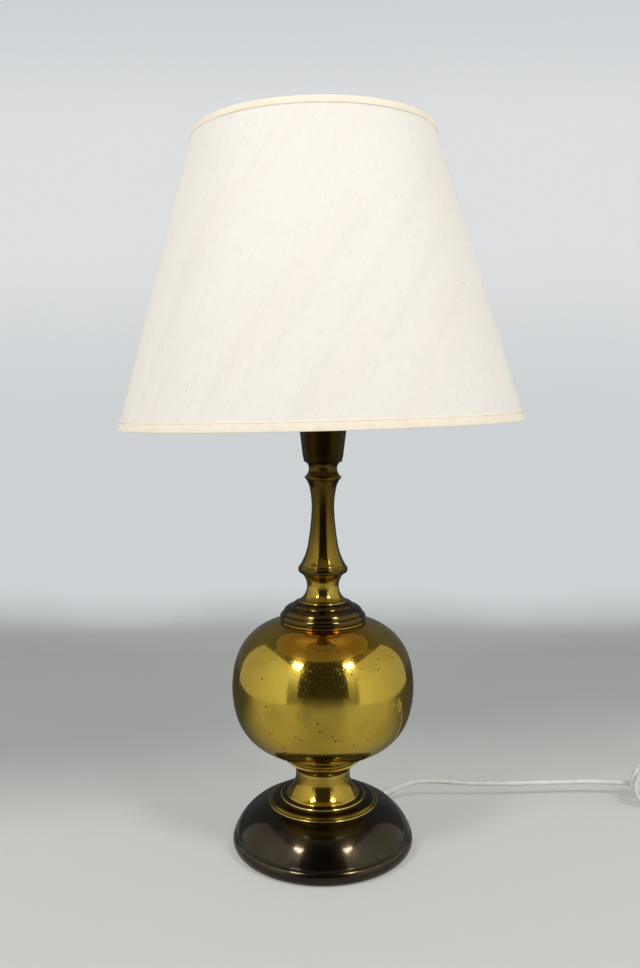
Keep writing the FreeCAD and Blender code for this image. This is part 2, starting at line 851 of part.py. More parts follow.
def lean(body):
    """Put a piece of the shade on the hub, with the shade's tilt."""
    tilt = Rotation(Vector(0, 1, 0), -s.shade_tilt.value)
    body.Placement = Placement(Vector(0, 0, 0), tilt)
    bind(body, ".Placement.Base.x", s.shade_recess * sine(s.shade_tilt))
    bind(body, ".Placement.Base.z", hub_middle - s.shade_recess * cosine(s.shade_tilt))
    return body


def make_panel():
    outside_low = cone_radius(panel_low, panel_inset)
    outside_high = cone_radius(panel_high, panel_inset)
    steps = [
        line(outside_high, panel_high),
        line(outside_high - s.panel_thickness, panel_high),
        line(outside_low - s.panel_thickness, panel_low),
    ]
    lean(turned("shade_panel", ZERO, (outside_low, panel_low), steps))


def trim_outline(edge, fold, end):
    """A folded tape: over the shade's edge, down the outside and down the inside."""
    thick = s.trim_thickness
    start = (cone_radius(edge), edge)
    steps = [
        line(cone_radius(end), end),
        line(cone_radius(end, thick), end),
        line(cone_radius(fold, thick), fold),
        line(cone_radius(fold, lining_inset), fold),
        line(cone_radius(end, lining_inset), end),
        line(cone_radius(end, lining_inset + thick), end),
        line(cone_radius(edge, lining_inset + thick), edge),
    ]
    return start, steps


def make_trims():
    start, steps = trim_outline(ZERO, s.trim_thickness, s.trim_height)
    bottom = turned("trim_bottom", ZERO, start, steps)
    slot = s.arm_radius + s.arm_slot_clearance
    reach = cone_radius(low_wire_height, wire_inset)
    round_pocket(bottom, "YZ_Plane", "ArmSlot", ZERO, low_wire_height, slot, reach, ARM_COUNT)
    lean(bottom)
    spin = Rotation(Vector(0, 0, 1), ARM_START_ANGLE)
    bottom.Placement = Placement(bottom.Placement.Base, bottom.Placement.Rotation.multiply(spin))
    fold = s.shade_height - s.trim_thickness
    start, steps = trim_outline(s.shade_height, fold, s.shade_height - s.trim_height)
    lean(turned("trim_top", ZERO, start, steps))


def shade_point(radius, height, angle):
    """A point of the tilted shade, in the lamp's frame."""
    turn = math.radians(angle)
    local = Vector(radius * math.cos(turn), radius * math.sin(turn), height)
    tilt = Rotation(Vector(0, 1, 0), -s.shade_tilt.value)
    return Vector(0, 0, hub_middle.value) + tilt.multVec(local - Vector(0, 0, s.shade_recess.value))


def wire_ring(label, height):
    """A round wire inside the shade, at a height of the shade's own frame."""
    ring = doc.addObject("Part::Torus", label)
    bind(ring, "Radius1", cone_radius(height, wire_inset))
    bind(ring, "Radius2", s.wire_radius)
    lift = height - s.shade_recess
    ring.Placement = Placement(Vector(0, 0, 0), Rotation(Vector(0, 1, 0), -s.shade_tilt.value))
    bind(ring, ".Placement.Base.x", ZERO - lift * sine(s.shade_tilt))
    bind(ring, ".Placement.Base.z", hub_middle + lift * cosine(s.shade_tilt))
    return keep(ring, label)


def make_spider():
    """A hub with three arms, welded on and ending on the bottom wire."""
    wire = wire_ring("shade_bottom_wire", low_wire_height)
    wire_ring("shade_top_wire", high_wire_height)
    doc.recompute()
    seat = Vector(0, 0, hub_seat.value)
    hub = Part.makeCylinder(s.hub_radius.value, s.hub_thickness.value, seat)
    bore = s.sleeve_radius.value + s.hub_clearance.value
    hub = hub.cut(Part.makeCylinder(bore, s.hub_thickness.value, seat))
    wire_radius = cone_radius(low_wire_height, wire_inset).value
    arms = []
    for index in range(ARM_COUNT):
        angle = ARM_START_ANGLE + FULL_TURN / ARM_COUNT * index
        turn = math.radians(angle)
        reach = s.hub_radius.value - s.arm_root_inset.value
        begin = Vector(reach * math.cos(turn), reach * math.sin(turn), hub_middle.value)
        way = shade_point(wire_radius, low_wire_height.value, angle) - begin
        arms.append(Part.makeCylinder(s.arm_radius.value, way.Length, begin, way))
    spider = doc.addObject("Part::Feature", "shade_spider")
    spider.Shape = hub.multiFuse(arms).cut(wire.Shape)
    keep(spider, "shade_spider")


def make_bulb():
    washer("bulb_contact", bulb_seat, ZERO, s.bulb_contact_radius, s.bulb_contact_height)
    insulator_seat = bulb_seat + s.bulb_contact_height
    height = s.bulb_insulator_height
    cone = [line(s.bulb_contact_radius, ZERO), line(s.bulb_insulator_radius, height), line(ZERO, height)]
    turned("bulb_insulator", insulator_seat, (ZERO, ZERO), cone)
    cap_seat_height = insulator_seat + height
    make_bulb_cap(cap_seat_height)
    make_bulb_glass(cap_seat_height + s.bulb_cap_height)


def make_bulb_cap(seat):
    valley = s.bulb_cap_radius - s.bulb_thread_depth
    inside = valley - s.bulb_cap_wall
    ridge_curve = s.bulb_thread_pitch * RIDGE_CURVE_SHARE
    first = s.bulb_cap_height - s.bulb_thread_pitch * (THREAD_RIDGES + 0.5)
    steps = [line(s.bulb_insulator_radius, ZERO), line(valley, first)]
    for index in range(THREAD_RIDGES):
        steps.append(bulge(valley, first + s.bulb_thread_pitch * (index + 1), ridge_curve))
    steps += [
        line(valley, s.bulb_cap_height),
        line(inside, s.bulb_cap_height),
        line(inside, first + s.bulb_cap_wall),
        line(s.bulb_insulator_radius - s.bulb_cap_wall, s.bulb_cap_wall),
    ]
    turned("bulb_cap", seat, (s.bulb_insulator_radius - s.bulb_cap_wall, ZERO), steps)


def globe_join(radius):
    """Where the bulb's neck runs into its globe."""
    side = math.sqrt(1 - BULB_JOIN_SHARE ** 2)
    return radius * side, s.bulb_globe_height - radius * BULB_JOIN_SHARE


def make_bulb_glass(seat):
    wall = s.bulb_glass_wall
    globe = s.bulb_globe_radius
    top = s.bulb_globe_height + globe
    join = globe_join(globe)
    inner_join = globe_join(globe - wall)
    steps = [
        line(s.bulb_neck_radius, s.bulb_neck_height),
        hollow(*join, s.bulb_flank_curve),
        bulge(ZERO, top, globe),
        line(ZERO, top - wall),
        hollow(*inner_join, globe - wall),
        bulge(s.bulb_neck_radius - wall, s.bulb_neck_height, s.bulb_flank_curve + wall),
        line(s.bulb_neck_base_radius - wall, ZERO),
    ]
    turned("bulb_glass", seat, (s.bulb_neck_base_radius, ZERO), steps)
    flare = s.bulb_neck_base_radius - wall - s.mount_clearance
    mount = [
        line(flare, ZERO),
        line(flare, s.mount_flare_height),
        hollow(s.mount_radius, s.mount_shoulder_height, s.mount_flare_curve),
        line(s.mount_radius, s.mount_height / 2),
        line(s.mount_tip_radius, s.mount_height),
        line(ZERO, s.mount_height),
    ]
    turned("bulb_mount", seat, (ZERO, ZERO), mount)
    make_filament(seat + s.mount_height)


def make_filament(seat):
    base = seat.value
    top = base + s.lead_length.value
    spread = s.lead_offset.value
    leads = []
    for side in (-1, 1):
        foot = Vector(side * spread, 0, base)
        leads.append(Part.makeCylinder(s.lead_radius.value, s.lead_length.value, foot))
    half = spread + 2 * s.lead_radius.value
    start = Vector(-half, 0, top)
    coil = Part.makeCylinder(s.coil_radius.value, 2 * half, start, Vector(1, 0, 0))
    filament = doc.addObject("Part::Feature", "bulb_filament")
    filament.Shape = coil.multiFuse(leads)
    keep(filament, "bulb_filament")


def make_bush():
    bore = s.cord_radius + s.bush_bore_clearance
    seat = bush_seat
    flange = seat + s.bush_flange_thickness
    inside = seat - s.bush_inside
    steps = [
        line(inside, s.bush_hole_radius),
        line(seat, s.bush_hole_radius),
        line(seat, s.bush_flange_radius),
        line(flange, s.bush_flange_radius),
        line(flange, s.bush_hole_radius),
        line(bush_tip, s.bush_tip_radius),
        line(bush_tip, bore),
    ]
    bush = turned("cord_bush", s.bush_height, (inside, bore), steps, axis="H_Axis")
    turn_about_z(bush, s.bush_azimuth)


def rounded_route(points):
    """Straight runs joined by tangent arcs, each as large as its two runs allow."""
    edges = []
    radii = []
    start = points[0]
    for before, corner, after in zip(points, points[1:], points[2:]):
        back = before - corner
        ahead = after - corner
        shorter = min(back.Length, ahead.Length)
        turn = math.pi - back.getAngle(ahead)
        cut = ARC_SHARE * shorter
        radius = cut / math.tan(turn / 2)
        radii.append(radius)
        entry = corner + back.normalize() * cut
        leave = corner + ahead.normalize() * cut
        inward = (back + ahead).normalize()
        middle = corner + inward * (radius / math.cos(turn / 2) - radius)
        edges.append(Part.LineSegment(start, entry).toShape())
        edges.append(Part.Arc(entry, middle, leave).toShape())
        start = leave
    edges.append(Part.LineSegment(start, points[-1]).toShape())
    return edges, radii


def tube(label, edges, radii):
    wire = Part.Wire(edges)
    start = edges[0].valueAt(edges[0].FirstParameter)
    way = edges[0].tangentAt(edges[0].FirstParameter)
    ring = Part.Wire([Part.Circle(start, way, s.cord_radius.value).toShape()])
    solid = wire.makePipeShell([ring], True, False)
    section = math.pi * s.cord_radius.value ** 2
    share = solid.Volume / (section * wire.Length)
    print(label, "length", round(wire.Length, 1), "volume share", round(share, 4))
    print(label, "arc radii", [round(radius, 1) for radius in radii])
    feature = doc.addObject("Part::Feature", label)
    feature.Shape = solid
    keep(feature, label)
    return wire


def bush_direction():
    azimuth = math.radians(s.bush_azimuth.value)
    return Vector(math.cos(azimuth), math.sin(azimuth), 0)


def on_bush_line(reach, height):
    return bush_direction() * reach + Vector(0, 0, height)


def make_inner_cord():
    low = s.felt_thickness.value + s.plate_thickness.value
    low += s.inner_floor_gap.value + s.cord_radius.value
    high = s.bush_height.value
    middle = low + (high - low) * INNER_DROP_SHARE
    top = rod_top.value + s.inner_above_rod.value
    points = [
        on_bush_line(bush_tip.value, high),
        on_bush_line(s.inner_bend_radius.value, high),
        on_bush_line(s.inner_slope_radius.value, middle),
        on_bush_line(s.inner_turn_radius.value, low),
        Vector(0, 0, low),
        Vector(0, 0, top),
    ]
    tube("cord_inner", *rounded_route(points))


def hank_middle_height():
    outer = s.hank_inner_level.value + 2 * s.hank_level_step.value
    return outer + s.cord_radius.value + s.hank_lift.value


def hank_point(side, layer, level, at_waist=False):
    """A point of the hank, where a lobe begins or beside its waist."""
    out = s.hank_waist_half.value if at_waist else s.hank_half_run.value
    pinch = s.hank_pinch.value if at_waist else 0
    height = math.copysign(abs(level) - pinch, level)
    across = s.hank_centre_x.value + side * out
    depth = s.hank_back_y.value - layer * s.hank_layer_step.value
    return Vector(across, depth, hank_middle_height() + height)


def bend_out(start, end):
    """Two equal arcs that leave start and reach end along X."""
    shift = end - start
    along = Vector(math.copysign(1, shift.x), 0, 0)
    aside = Vector(0, shift.y, shift.z)
    run = abs(shift.x)
    radius = (run ** 2 + aside.Length ** 2) / (4 * aside.Length)
    turn = 2 * math.atan2(aside.Length, run)
    sag = aside.normalize() * (radius * (1 - math.cos(turn / 2)))
    first = start + along * (radius * math.sin(turn / 2)) + sag
    second = start + end - first
    middle = (start + end) / 2
    arcs = [Part.Arc(start, first, middle).toShape(), Part.Arc(middle, second, end).toShape()]
    return arcs, radius


def hank_levels():
    """Each run's distance from the middle: in, out, in, out, and which layers it joins."""
    inner = s.hank_inner_level.value
    step = s.hank_level_step.value
    low_levels = [inner + 2 * step, inner, inner + 2 * step, inner, inner + 2 * step]
    runs = []
    for index, level in enumerate(low_levels):
        runs.append((-level, index, index + 1))
        if index < len(low_levels) - 1:
            runs.append((inner + step, index + 1, index + 1))
    return runs


def make_hank():
    """Two wires' worth of lobes drawn in at the waist, wound as one unbroken cord."""
    edges = []
    radii = []
    runs = hank_levels()
    way = 1
    for index, (level, from_layer, to_layer) in enumerate(runs):
        waist_layer = (from_layer + to_layer) / 2
        first = index == 0
        last = index == len(runs) - 1
        waist_layer = from_layer if first else to_layer if last else waist_layer
        begin = hank_point(-way, waist_layer, level, at_waist=True)
        finish = hank_point(way, waist_layer, level, at_waist=True)
        if not first:
            arcs, radius = bend_out(hank_point(-way, from_layer, level), begin)
            edges += arcs
            radii.append(radius)
        edges.append(Part.LineSegment(begin, finish).toShape())
        if last:
            break
        lobe = hank_point(way, to_layer, level)
        arcs, radius = bend_out(finish, lobe)
        edges += arcs
        next_lobe = hank_point(way, to_layer, runs[index + 1][0])
        reach = abs(next_lobe.z - lobe.z) / 2
        radii += [radius, reach]
        crown = (lobe + next_lobe) / 2 + Vector(way * reach, 0, 0)
        edges.append(Part.Arc(lobe, crown, next_lobe).toShape())
        way = -way
    wire = tube("cord_hank", edges, radii)
    print("cord_hank least gap to itself", round(least_gap(wire), 2))
    return edges


def least_gap(wire):
    """The least clear gap between turns, on points spaced by half the cord's radius."""
    step = s.cord_radius.value / 2
    points = []
    for edge in wire.OrderedEdges:
        points += edge.discretize(Number=max(2, int(edge.Length / step)))[:-1]
    apart = int(4 * s.cord_radius.value / step)
    nearest = min(
        (points[i] - points[j]).Length
        for i in range(len(points))
        for j in range(i + apart, len(points))
    )
    return nearest - 2 * s.cord_radius.value


def make_free_cord():
    hank_start = hank_point(-1, 0, hank_levels()[0][0], at_waist=True)
    points = [on_bush_line(bush_tip.value, s.bush_height.value)]
    points += [Vector(*point) for point in CORD_ROUTE] + [hank_start]
    tube("cord_free", *rounded_route(points))


def make_tail():
    runs = hank_levels()
    hank_end = hank_point(1, runs[-1][2], runs[-1][0], at_waist=True)
    before_plug = plug_placement(-s.plug_run.value).Base
    points = [hank_end] + [Vector(*point) for point in TAIL_ROUTE] + [before_plug, plug_rear()]
    tube("cord_tail", *rounded_route(points))


def make_tie():
    """A flat tie round the hank's waist."""
    slack = s.tie_clearance.value + s.cord_radius.value
    ends = [hank_point(1, layer, level, at_waist=True) for level, layer, _ in hank_levels()]
    ends += [hank_point(1, layer, level, at_waist=True) for level, _, layer in hank_levels()]
    low = Vector(0, min(p.y for p in ends) - slack, min(p.z for p in ends) - slack)
    high = Vector(0, max(p.y for p in ends) + slack, max(p.z for p in ends) + slack)
    thick = s.tie_thickness.value
    width = s.tie_width.value
    corner = Vector(s.hank_centre_x.value - width / 2, low.y, low.z)
    inside = Part.makeBox(width, high.y - low.y, high.z - low.z, corner)
    grown = corner - Vector(0, thick, thick)
    outside = Part.makeBox(width, high.y - low.y + 2 * thick, high.z - low.z + 2 * thick, grown)
    corners = [edge for edge in outside.Edges if abs(edge.Length - width) < thick / 10]
    tie = doc.addObject("Part::Feature", "hank_tie")
    tie.Shape = outside.makeFillet(thick * 2 / 3, corners).cut(inside)
    keep(tie, "hank_tie")


def plug_rear():
    return Vector(PLUG_PLACE[0], PLUG_PLACE[1], s.plug_thickness.value / 2)


def plug_placement(along):
    heading = Rotation(Vector(0, 0, 1), PLUG_HEADING)
    return Placement(plug_rear() + heading.multVec(Vector(along, 0, 0)), heading)


def make_plug():
    """A moulded two-pin plug that lies on its flat side."""
    relief = doc.addObject("Part::Cone", "plug_relief")
    bind(relief, "Radius1", s.relief_tip_radius)
    bind(relief, "Radius2", s.relief_root_radius)
    bind(relief, "Height", s.relief_length)
    place = plug_placement(0)
    relief.Placement = place.multiply(Placement(Vector(), Rotation(Vector(0, 1, 0), 90)))
    keep(relief, "plug_relief")

    body = doc.addObject("PartDesign::Body", "plug_body")
    neck = s.plug_neck_width / 2
    face = s.plug_width / 2
    shoulder = s.plug_length - s.plug_shoulder_length
    steps = [
        line(shoulder, ZERO - face),
        line(s.plug_length, ZERO - face),
        line(s.plug_length, face),
        line(shoulder, face),
        line(ZERO, neck),
    ]
    pad = body.newObject("PartDesign::Pad", "plug_bodyPad")
    pad.Profile = outline_sketch(body, "XY_Plane", (ZERO, ZERO - neck), steps)
    pad.SideType = "Symmetric"
    bind(pad, "Length", s.plug_thickness)
    doc.recompute()
    rounding = body.newObject("PartDesign::Fillet", "plug_bodyRound")
    middle = s.plug_length.value - s.plug_shoulder_length.value / 2
    behind = [
        f"Edge{index}"
        for index, edge in enumerate(pad.Shape.Edges, start=1)
        if min(vertex.X for vertex in edge.Vertexes) < middle
    ]
    rounding.Base = (pad, behind)
    bind(rounding, "Radius", s.plug_edge_round)
    body.Placement = plug_placement(s.relief_length.value)
    keep(body, "plug_body")

    pins = []
    for side, name in ((-1, "Left"), (1, "Right")):
        pin = cylinder(f"pin{name}", s.pin_radius, s.pin_length)
        place = plug_placement(s.relief_length.value + s.plug_length.value)
        offset = Vector(0, side * s.pin_spacing.value / 2, 0)
        pin.Placement = place.multiply(Placement(offset, Rotation(Vector(0, 1, 0), 90)))
        pins.append(pin)
    pair = doc.addObject("Part::Compound", "plug_pins")
    pair.Links = pins
    keep(pair, "plug_pins")


make_foot()
make_underside()
make_rod()
make_foot_ring()
make_neck()
make_saucer()
make_ball()
make_cap()
make_column()
make_cup()
make_lampholder()
make_clamp_rings()
make_panel()
make_trims()
make_spider()
make_bulb()
make_bush()
make_inner_cord()
make_free_cord()
make_hank()
make_tie()
make_tail()
make_plug()
doc.recompute()

for thing in doc.Objects:
    if "Invalid" in thing.State or "Error" in thing.State:
        raise RuntimeError(f"{thing.Name} has failed: {thing.State}")
os.makedirs("parts", exist_ok=True)
for node in nodes:
    if node.Shape.isNull() or not node.Shape.isValid():
        raise RuntimeError(f"{node.Label} has no valid shape")
for node in nodes:
    node.Shape.exportStep(f"parts/{node.Label}.step")
print(len(nodes), "pieces")
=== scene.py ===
"""Looks of the table lamp: turned and polished brass, slub fabric shade, white cord.

The lamp's own sizes are in millimetres, angles in degrees. The camera, the room, the length of
the cord and all that Blender's calls take are in metres. An outline's heights count from the
seat of its piece. A step of an outline is (radius, height), or (radius, height, curve) for an
arc: a curve above zero has its centre on the left of the way, one below zero on the right.
"""
import bpy
import json
import math
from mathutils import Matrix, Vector


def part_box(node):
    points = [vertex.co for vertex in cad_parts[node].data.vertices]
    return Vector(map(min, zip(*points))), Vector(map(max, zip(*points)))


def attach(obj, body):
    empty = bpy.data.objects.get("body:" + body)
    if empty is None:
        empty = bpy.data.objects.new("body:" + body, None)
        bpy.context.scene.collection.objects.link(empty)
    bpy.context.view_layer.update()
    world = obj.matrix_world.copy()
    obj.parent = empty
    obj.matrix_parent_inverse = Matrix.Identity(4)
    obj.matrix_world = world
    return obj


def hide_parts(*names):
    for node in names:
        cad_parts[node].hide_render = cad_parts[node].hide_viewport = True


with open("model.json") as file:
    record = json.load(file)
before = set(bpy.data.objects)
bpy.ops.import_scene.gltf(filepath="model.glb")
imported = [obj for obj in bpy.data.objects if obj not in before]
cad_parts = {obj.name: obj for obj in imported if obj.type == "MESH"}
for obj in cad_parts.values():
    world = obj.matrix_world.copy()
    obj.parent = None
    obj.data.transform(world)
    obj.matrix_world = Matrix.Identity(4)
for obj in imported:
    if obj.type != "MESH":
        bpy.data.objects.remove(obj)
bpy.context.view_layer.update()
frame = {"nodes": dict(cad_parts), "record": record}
nodes = frame["nodes"]
MM = 0.001

# Camera
LENS_PIXELS = 916.3
FRAME_HEIGHT = 968
SENSOR_HEIGHT = 36.0
CAMERA_PLACE = (-0.003, -0.927, 0.467)
CAMERA_DROP = 5.416

# Turned metal, from the floor up
FOOT_OUTLINE = [
    (89.9, 13.4), (88.5, 0.5, -9.0), (89.8, 0.5), (92.4, 13.4, 9.0), (91.2, 14.2), (91.2, 14.8),
    (91.2, 17.1, 1.25), (56.4, 47.4, 51.0), (5.2, 47.4), (5.2, 46.1), (55.75, 46.1),
    (89.9, 17.1, -49.7),
]
RING_OUTLINE = [
    (14.0, 0.0), (56.5, 0.0), (57.0, 0.5), (57.0, 1.1), (56.5, 1.6), (55.2, 1.6), (45.0, 5.4, 12.0),
    (44.2, 5.4), (44.2, 6.8), (43.6, 7.4), (14.0, 7.4),
]
NECK_OUTLINE = [
    (24.0, 0.0), (38.0, 0.0), (38.0, 1.3), (37.4, 1.8), (28.1, 21.7, -26.0), (28.4, 26.4, -90.0),
    (24.0, 26.4),
]
SAUCER_OUTLINE = [
    (22.0, 0.0), (28.4, 0.0), (37.2, 9.6, -10.5), (38.5, 10.8), (36.6, 12.8), (40.4, 21.2, -24.0),
    (22.0, 21.2),
]
BALL_OUTLINE = [
    (5.2, 0.0), (36.65, 0.0), (89.56, 39.66, 55.13), (89.56, 96.06, 100.5), (36.65, 135.72, 55.13),
    (5.2, 135.72),
]
CAP_OUTLINE = [
    (18.0, 0.0), (44.1, 0.0), (44.6, 0.5), (44.6, 1.5), (43.5, 1.5), (43.5, 2.5), (41.7, 8.8, 4.6),
    (41.2, 8.8), (32.5, 16.2, 9.5), (32.0, 16.2), (25.6, 21.0, 9.0), (18.0, 21.0),
]
STEM_OUTLINE = [
    (8.0, 0.0), (24.8, 0.0), (24.8, 0.5), (16.3, 15.4, -17.2), (23.2, 29.7, -18.4), (8.0, 29.7),
]
KNOB_OUTLINE = [(8.0, 0.0), (24.2, 0.0), (24.2, 6.4, 4.9), (8.0, 6.4)]
SHAFT_OUTLINE = [
    (8.0, 0.0), (24.0, 0.0), (15.4, 22.0, -60.0), (11.4, 61.0, -280.0), (13.6, 80.6, -110.0),
    (18.4, 90.2, -23.0), (8.0, 90.2),
]
COVE_OUTLINE = [
    (8.0, 0.0), (18.7, 0.0), (18.7, 1.4), (14.4, 9.9, -10.6), (18.4, 16.6, -7.7), (8.0, 16.6),
]
CUP_OUTLINE = [
    (5.2, 0.0), (18.7, 0.0), (19.7, 1.0, 1.0), (19.7, 3.2), (20.5, 5.0), (25.2, 44.0), (24.1, 44.0),
    (19.4, 5.0), (18.6, 1.1), (5.2, 1.1),
]

# How turned pieces are drawn and marked
ARC_STEP = 3.0
LONG_STEP = 4.0
CORNER_ANGLE = 18.0
FULL_CORNER_ANGLE = 70.0
CORNER_SPREAD = 0.8
SMOOTH_ANGLE = 32.0
MERGE_DISTANCE = 0.004
AROUND_BROAD = 192

# Bulb
GLASS_OUTLINE = [
    (12.4, 0.0), (14.0, 8.0), (24.65, 32.9, -45.0), (0.0, 80.0, 30.0), (0.0, 79.4),
    (24.16, 33.24, -29.4), (13.4, 8.0, 45.6), (11.8, 0.0),
]

# Bush that the cord leaves through: along its own line, from inside the foot outwards
BUSH_AZIMUTH = 43.0
BUSH_HEIGHT = 24.0
BUSH_SEAT = 90.6
BUSH_TIP = 110.6
BUSH_FLANGE = 1.4
BUSH_INSIDE = 6.0
BUSH_BORE = 2.8
BUSH_RADIUS = 4.2
BUSH_TIP_RADIUS = 3.4
BUSH_FLANGE_RADIUS = 4.8
BUSH_GROOVES = 5
BUSH_GROOVE_DEPTH = 0.45

# Shade, in its own frame before it leans
SHADE_TILT = 1.48
SHADE_PLACE = (-1.88, 0.0, 440.1)
SHADE_RADIUS = 201.2
SHADE_TOP_RADIUS = 118.9
SHADE_HEIGHT = 283.8
SHADE_SLOPE = (SHADE_RADIUS - SHADE_TOP_RADIUS) / SHADE_HEIGHT
PANEL_INSET = 0.6
PANEL_THICKNESS = 0.8
PANEL_ROWS = 24
AROUND_SHADE = 256
AROUND_WIRE = 192
AROUND_LAP = 6
LAP_ANGLE = 4.6
LAP_RISE = 0.35
BOTTOM_TAPE = 9.0
TOP_TAPE = 7.2
TAPE_THICKNESS = 0.5
TAPE_LINING = 5.45
TAPE_ROUND = 0.6
TAPE_SOFT = 0.15
TAPE_FOLD_END = 1.2
TAPE_SMOOTH_ANGLE = 50.0
WIRE_SIDES = 12
WIRE_RADIUS = 1.5
WIRE_INSET = 3.43
WIRE_EDGE = 2.1
HUB_RADIUS = 29.0
HUB_THICKNESS = 2.0
HUB_OUTLINE = [(20.0, 0.0), (HUB_RADIUS, 0.0), (HUB_RADIUS, HUB_THICKNESS), (20.0, HUB_THICKNESS)]
ARM_ANGLES = (60, 180, 300)
ARM_RADIUS = 1.4
ARM_ROOT = 3.0
ARM_KNEE_SHARE = 0.12
ARM_KNEE_RISE = 2.0
STITCH_LENGTH = 1.5
STITCH_THICKNESS = 0.42
BOTTOM_STITCH_INSET = 1.6
TOP_STITCH_INSET = 0.6

# Cord: from the bush to the hank, the hank's turns, and on to the plug. A run of the hank is
# its level and the layers that it starts and ends in.
CORD_RADIUS = 2.7
CORD_ROUTE = [
    (97.6, 91.0, 24.0), (112.5, 100.0, 23.2), (134.0, 104.4, 21.2), (166.0, 104.0, 18.6),
    (210.0, 106.5, 17.2), (258.0, 109.4, 17.0), (304.0, 111.0, 18.0), (344.0, 109.6, 17.4),
    (378.0, 105.4, 16.4), (402.0, 103.2, 15.8),
]
TAIL_ROUTE = [(448.0, 72.2, 15.8), (468.0, 70.0, 13.0), (487.0, 65.0, 9.0), (503.0, 58.0, 6.9)]
PLUG_PLACE = (524.0, 33.0, 6.85)
PLUG_HEADING = -55.0
PLUG_RUN = 15.0
HANK_CENTRE = (428.0, 103.2, 26.0)
HANK_LAYER = 6.2
HANK_HALF_RUN = 50.0
HANK_WAIST_HALF = 4.0
HANK_PINCH = 13.0
HANK_RUNS = [
    (-23.2, 0, 1), (19.7, 1, 1), (-16.2, 1, 2), (19.7, 2, 2), (-23.2, 2, 3),
    (19.7, 3, 3), (-16.2, 3, 4), (19.7, 4, 4), (-23.2, 4, 5),
]
LOBE_CORNERS = 6

# Colours and textures: the grain in cells per metre, weave and twill in radians per metre, the
# way of the lathe marks in turns
GOLD = (0.48, 0.335, 0.05)
OLD_GOLD = (0.26, 0.165, 0.025)
BRIGHT = (0.68, 0.52, 0.16)
# The lining's warm tone is painted light: it stands for warm light coming through the cloth.
LINING = (0.86, 0.79, 0.66)
BRASS_GRAIN = 16000.0
LATHE_WAY = 0.25
WEAVE = 11000.0
TWILL = 7000.0
SLUB_SLANT = 33.0

# Room
WALL_PLACE = 0.77
SWEEP_RADIUS = 0.05
SWEEP_SEGMENTS = 10
BEHIND_DROP = 0.0005
ROOM_HALF_WIDTH = 3.0
ROOM_FRONT = -8.0
ROOM_HEIGHT = 3.0
# The floor's and wall's tones hold painted light falloff: darker at the back of the floor and at
# the foot of the wall, lighter in a band up the wall.
FLOOR_FRONT = (0.585, 0.59, 0.56)
FLOOR_BACK = (0.350, 0.360, 0.350)
FLOOR_LIT = (0.78, 0.78, 0.77)
WALL_FOOT = (0.33, 0.345, 0.34)
WALL_MIDDLE = (0.625, 0.65, 0.665)
WALL_HIGH = (0.73, 0.745, 0.76)
BOARD_SIZE = (1.05, 1.78)
BOARD_PLACE = (0.79, -0.21, 0.53)
BOARD_TOE_IN = 10.5
SOFTBOXES = (("left_softbox", -42, 11.4), ("right_softbox", 43, 10.9))
SOFTBOX_RISE = 44
SOFTBOX_DISTANCE = 1.75
SOFTBOX_SIZE = 0.34
SOFTBOX_TARGET = (0, 0, 0.2)
ROOM_COLOR = (1.0, 0.96, 0.90)
ROOM_DIM = 0.04
ROOM_BRIGHT = 0.25
ROOM_SEEN = 0.3


class Wire:
    """One output of a node. Python's operators on it add Math nodes."""

    def __init__(self, owner, socket):
        self.owner = owner
        self.socket = socket

    def math(self, operation, *others):
        return self.owner.wire("ShaderNodeMath", {"operation": operation}, dict(enumerate(others)))

    def __add__(self, other):
        return self.math("ADD", self, other)

    def __radd__(self, other):
        return self.math("ADD", other, self)

    def __sub__(self, other):
        return self.math("SUBTRACT", self, other)

    def __rsub__(self, other):
        return self.math("SUBTRACT", other, self)

    def __mul__(self, other):
        return self.math("MULTIPLY", self, other)

    def __rmul__(self, other):
        return self.math("MULTIPLY", other, self)

    def __abs__(self):
        return self.math("ABSOLUTE", self)

    def sine(self):
        return self.math("SINE", self)

    def within(self, low, high):
        """0 at low and below, 1 at high and above, smooth between."""
        sockets = {"Value": self, "From Min": low, "From Max": high}
        return self.owner.wire("ShaderNodeMapRange", {"interpolation_type": "SMOOTHSTEP"}, sockets)


class Nodes:
    """The nodes of a material or of the world."""

    def __init__(self, tree):
        self.tree = tree

    def feed(self, socket, item):
        if isinstance(item, Wire):
            self.tree.links.new(item.socket, socket)
        elif socket.type == "RGBA":
            socket.default_value = (*item, 1.0)
        else:
            socket.default_value = item

    def add(self, kind, settings, sockets):
        """Add a node with its settings and feed its sockets."""
        node = self.tree.nodes.new(kind)
        for key, value in settings.items():
            setattr(node, key, value)
        for key, value in sockets.items():
            self.feed(node.inputs[key], value)
        return node

    def wire(self, kind, settings, sockets, output=0):
        """Add a node and return one of its outputs."""
        return Wire(self, self.add(kind, settings, sockets).outputs[output])

    def place(self):
        return self.wire("ShaderNodeTexCoord", {}, {}, "Object")

    def axes(self, of=None):
        node = self.add("ShaderNodeSeparateXYZ", {}, {0: of or self.place()})
        return [Wire(self, output) for output in node.outputs]

    def ray(self, kind):
        return self.wire("ShaderNodeLightPath", {}, {}, f"Is {kind} Ray")


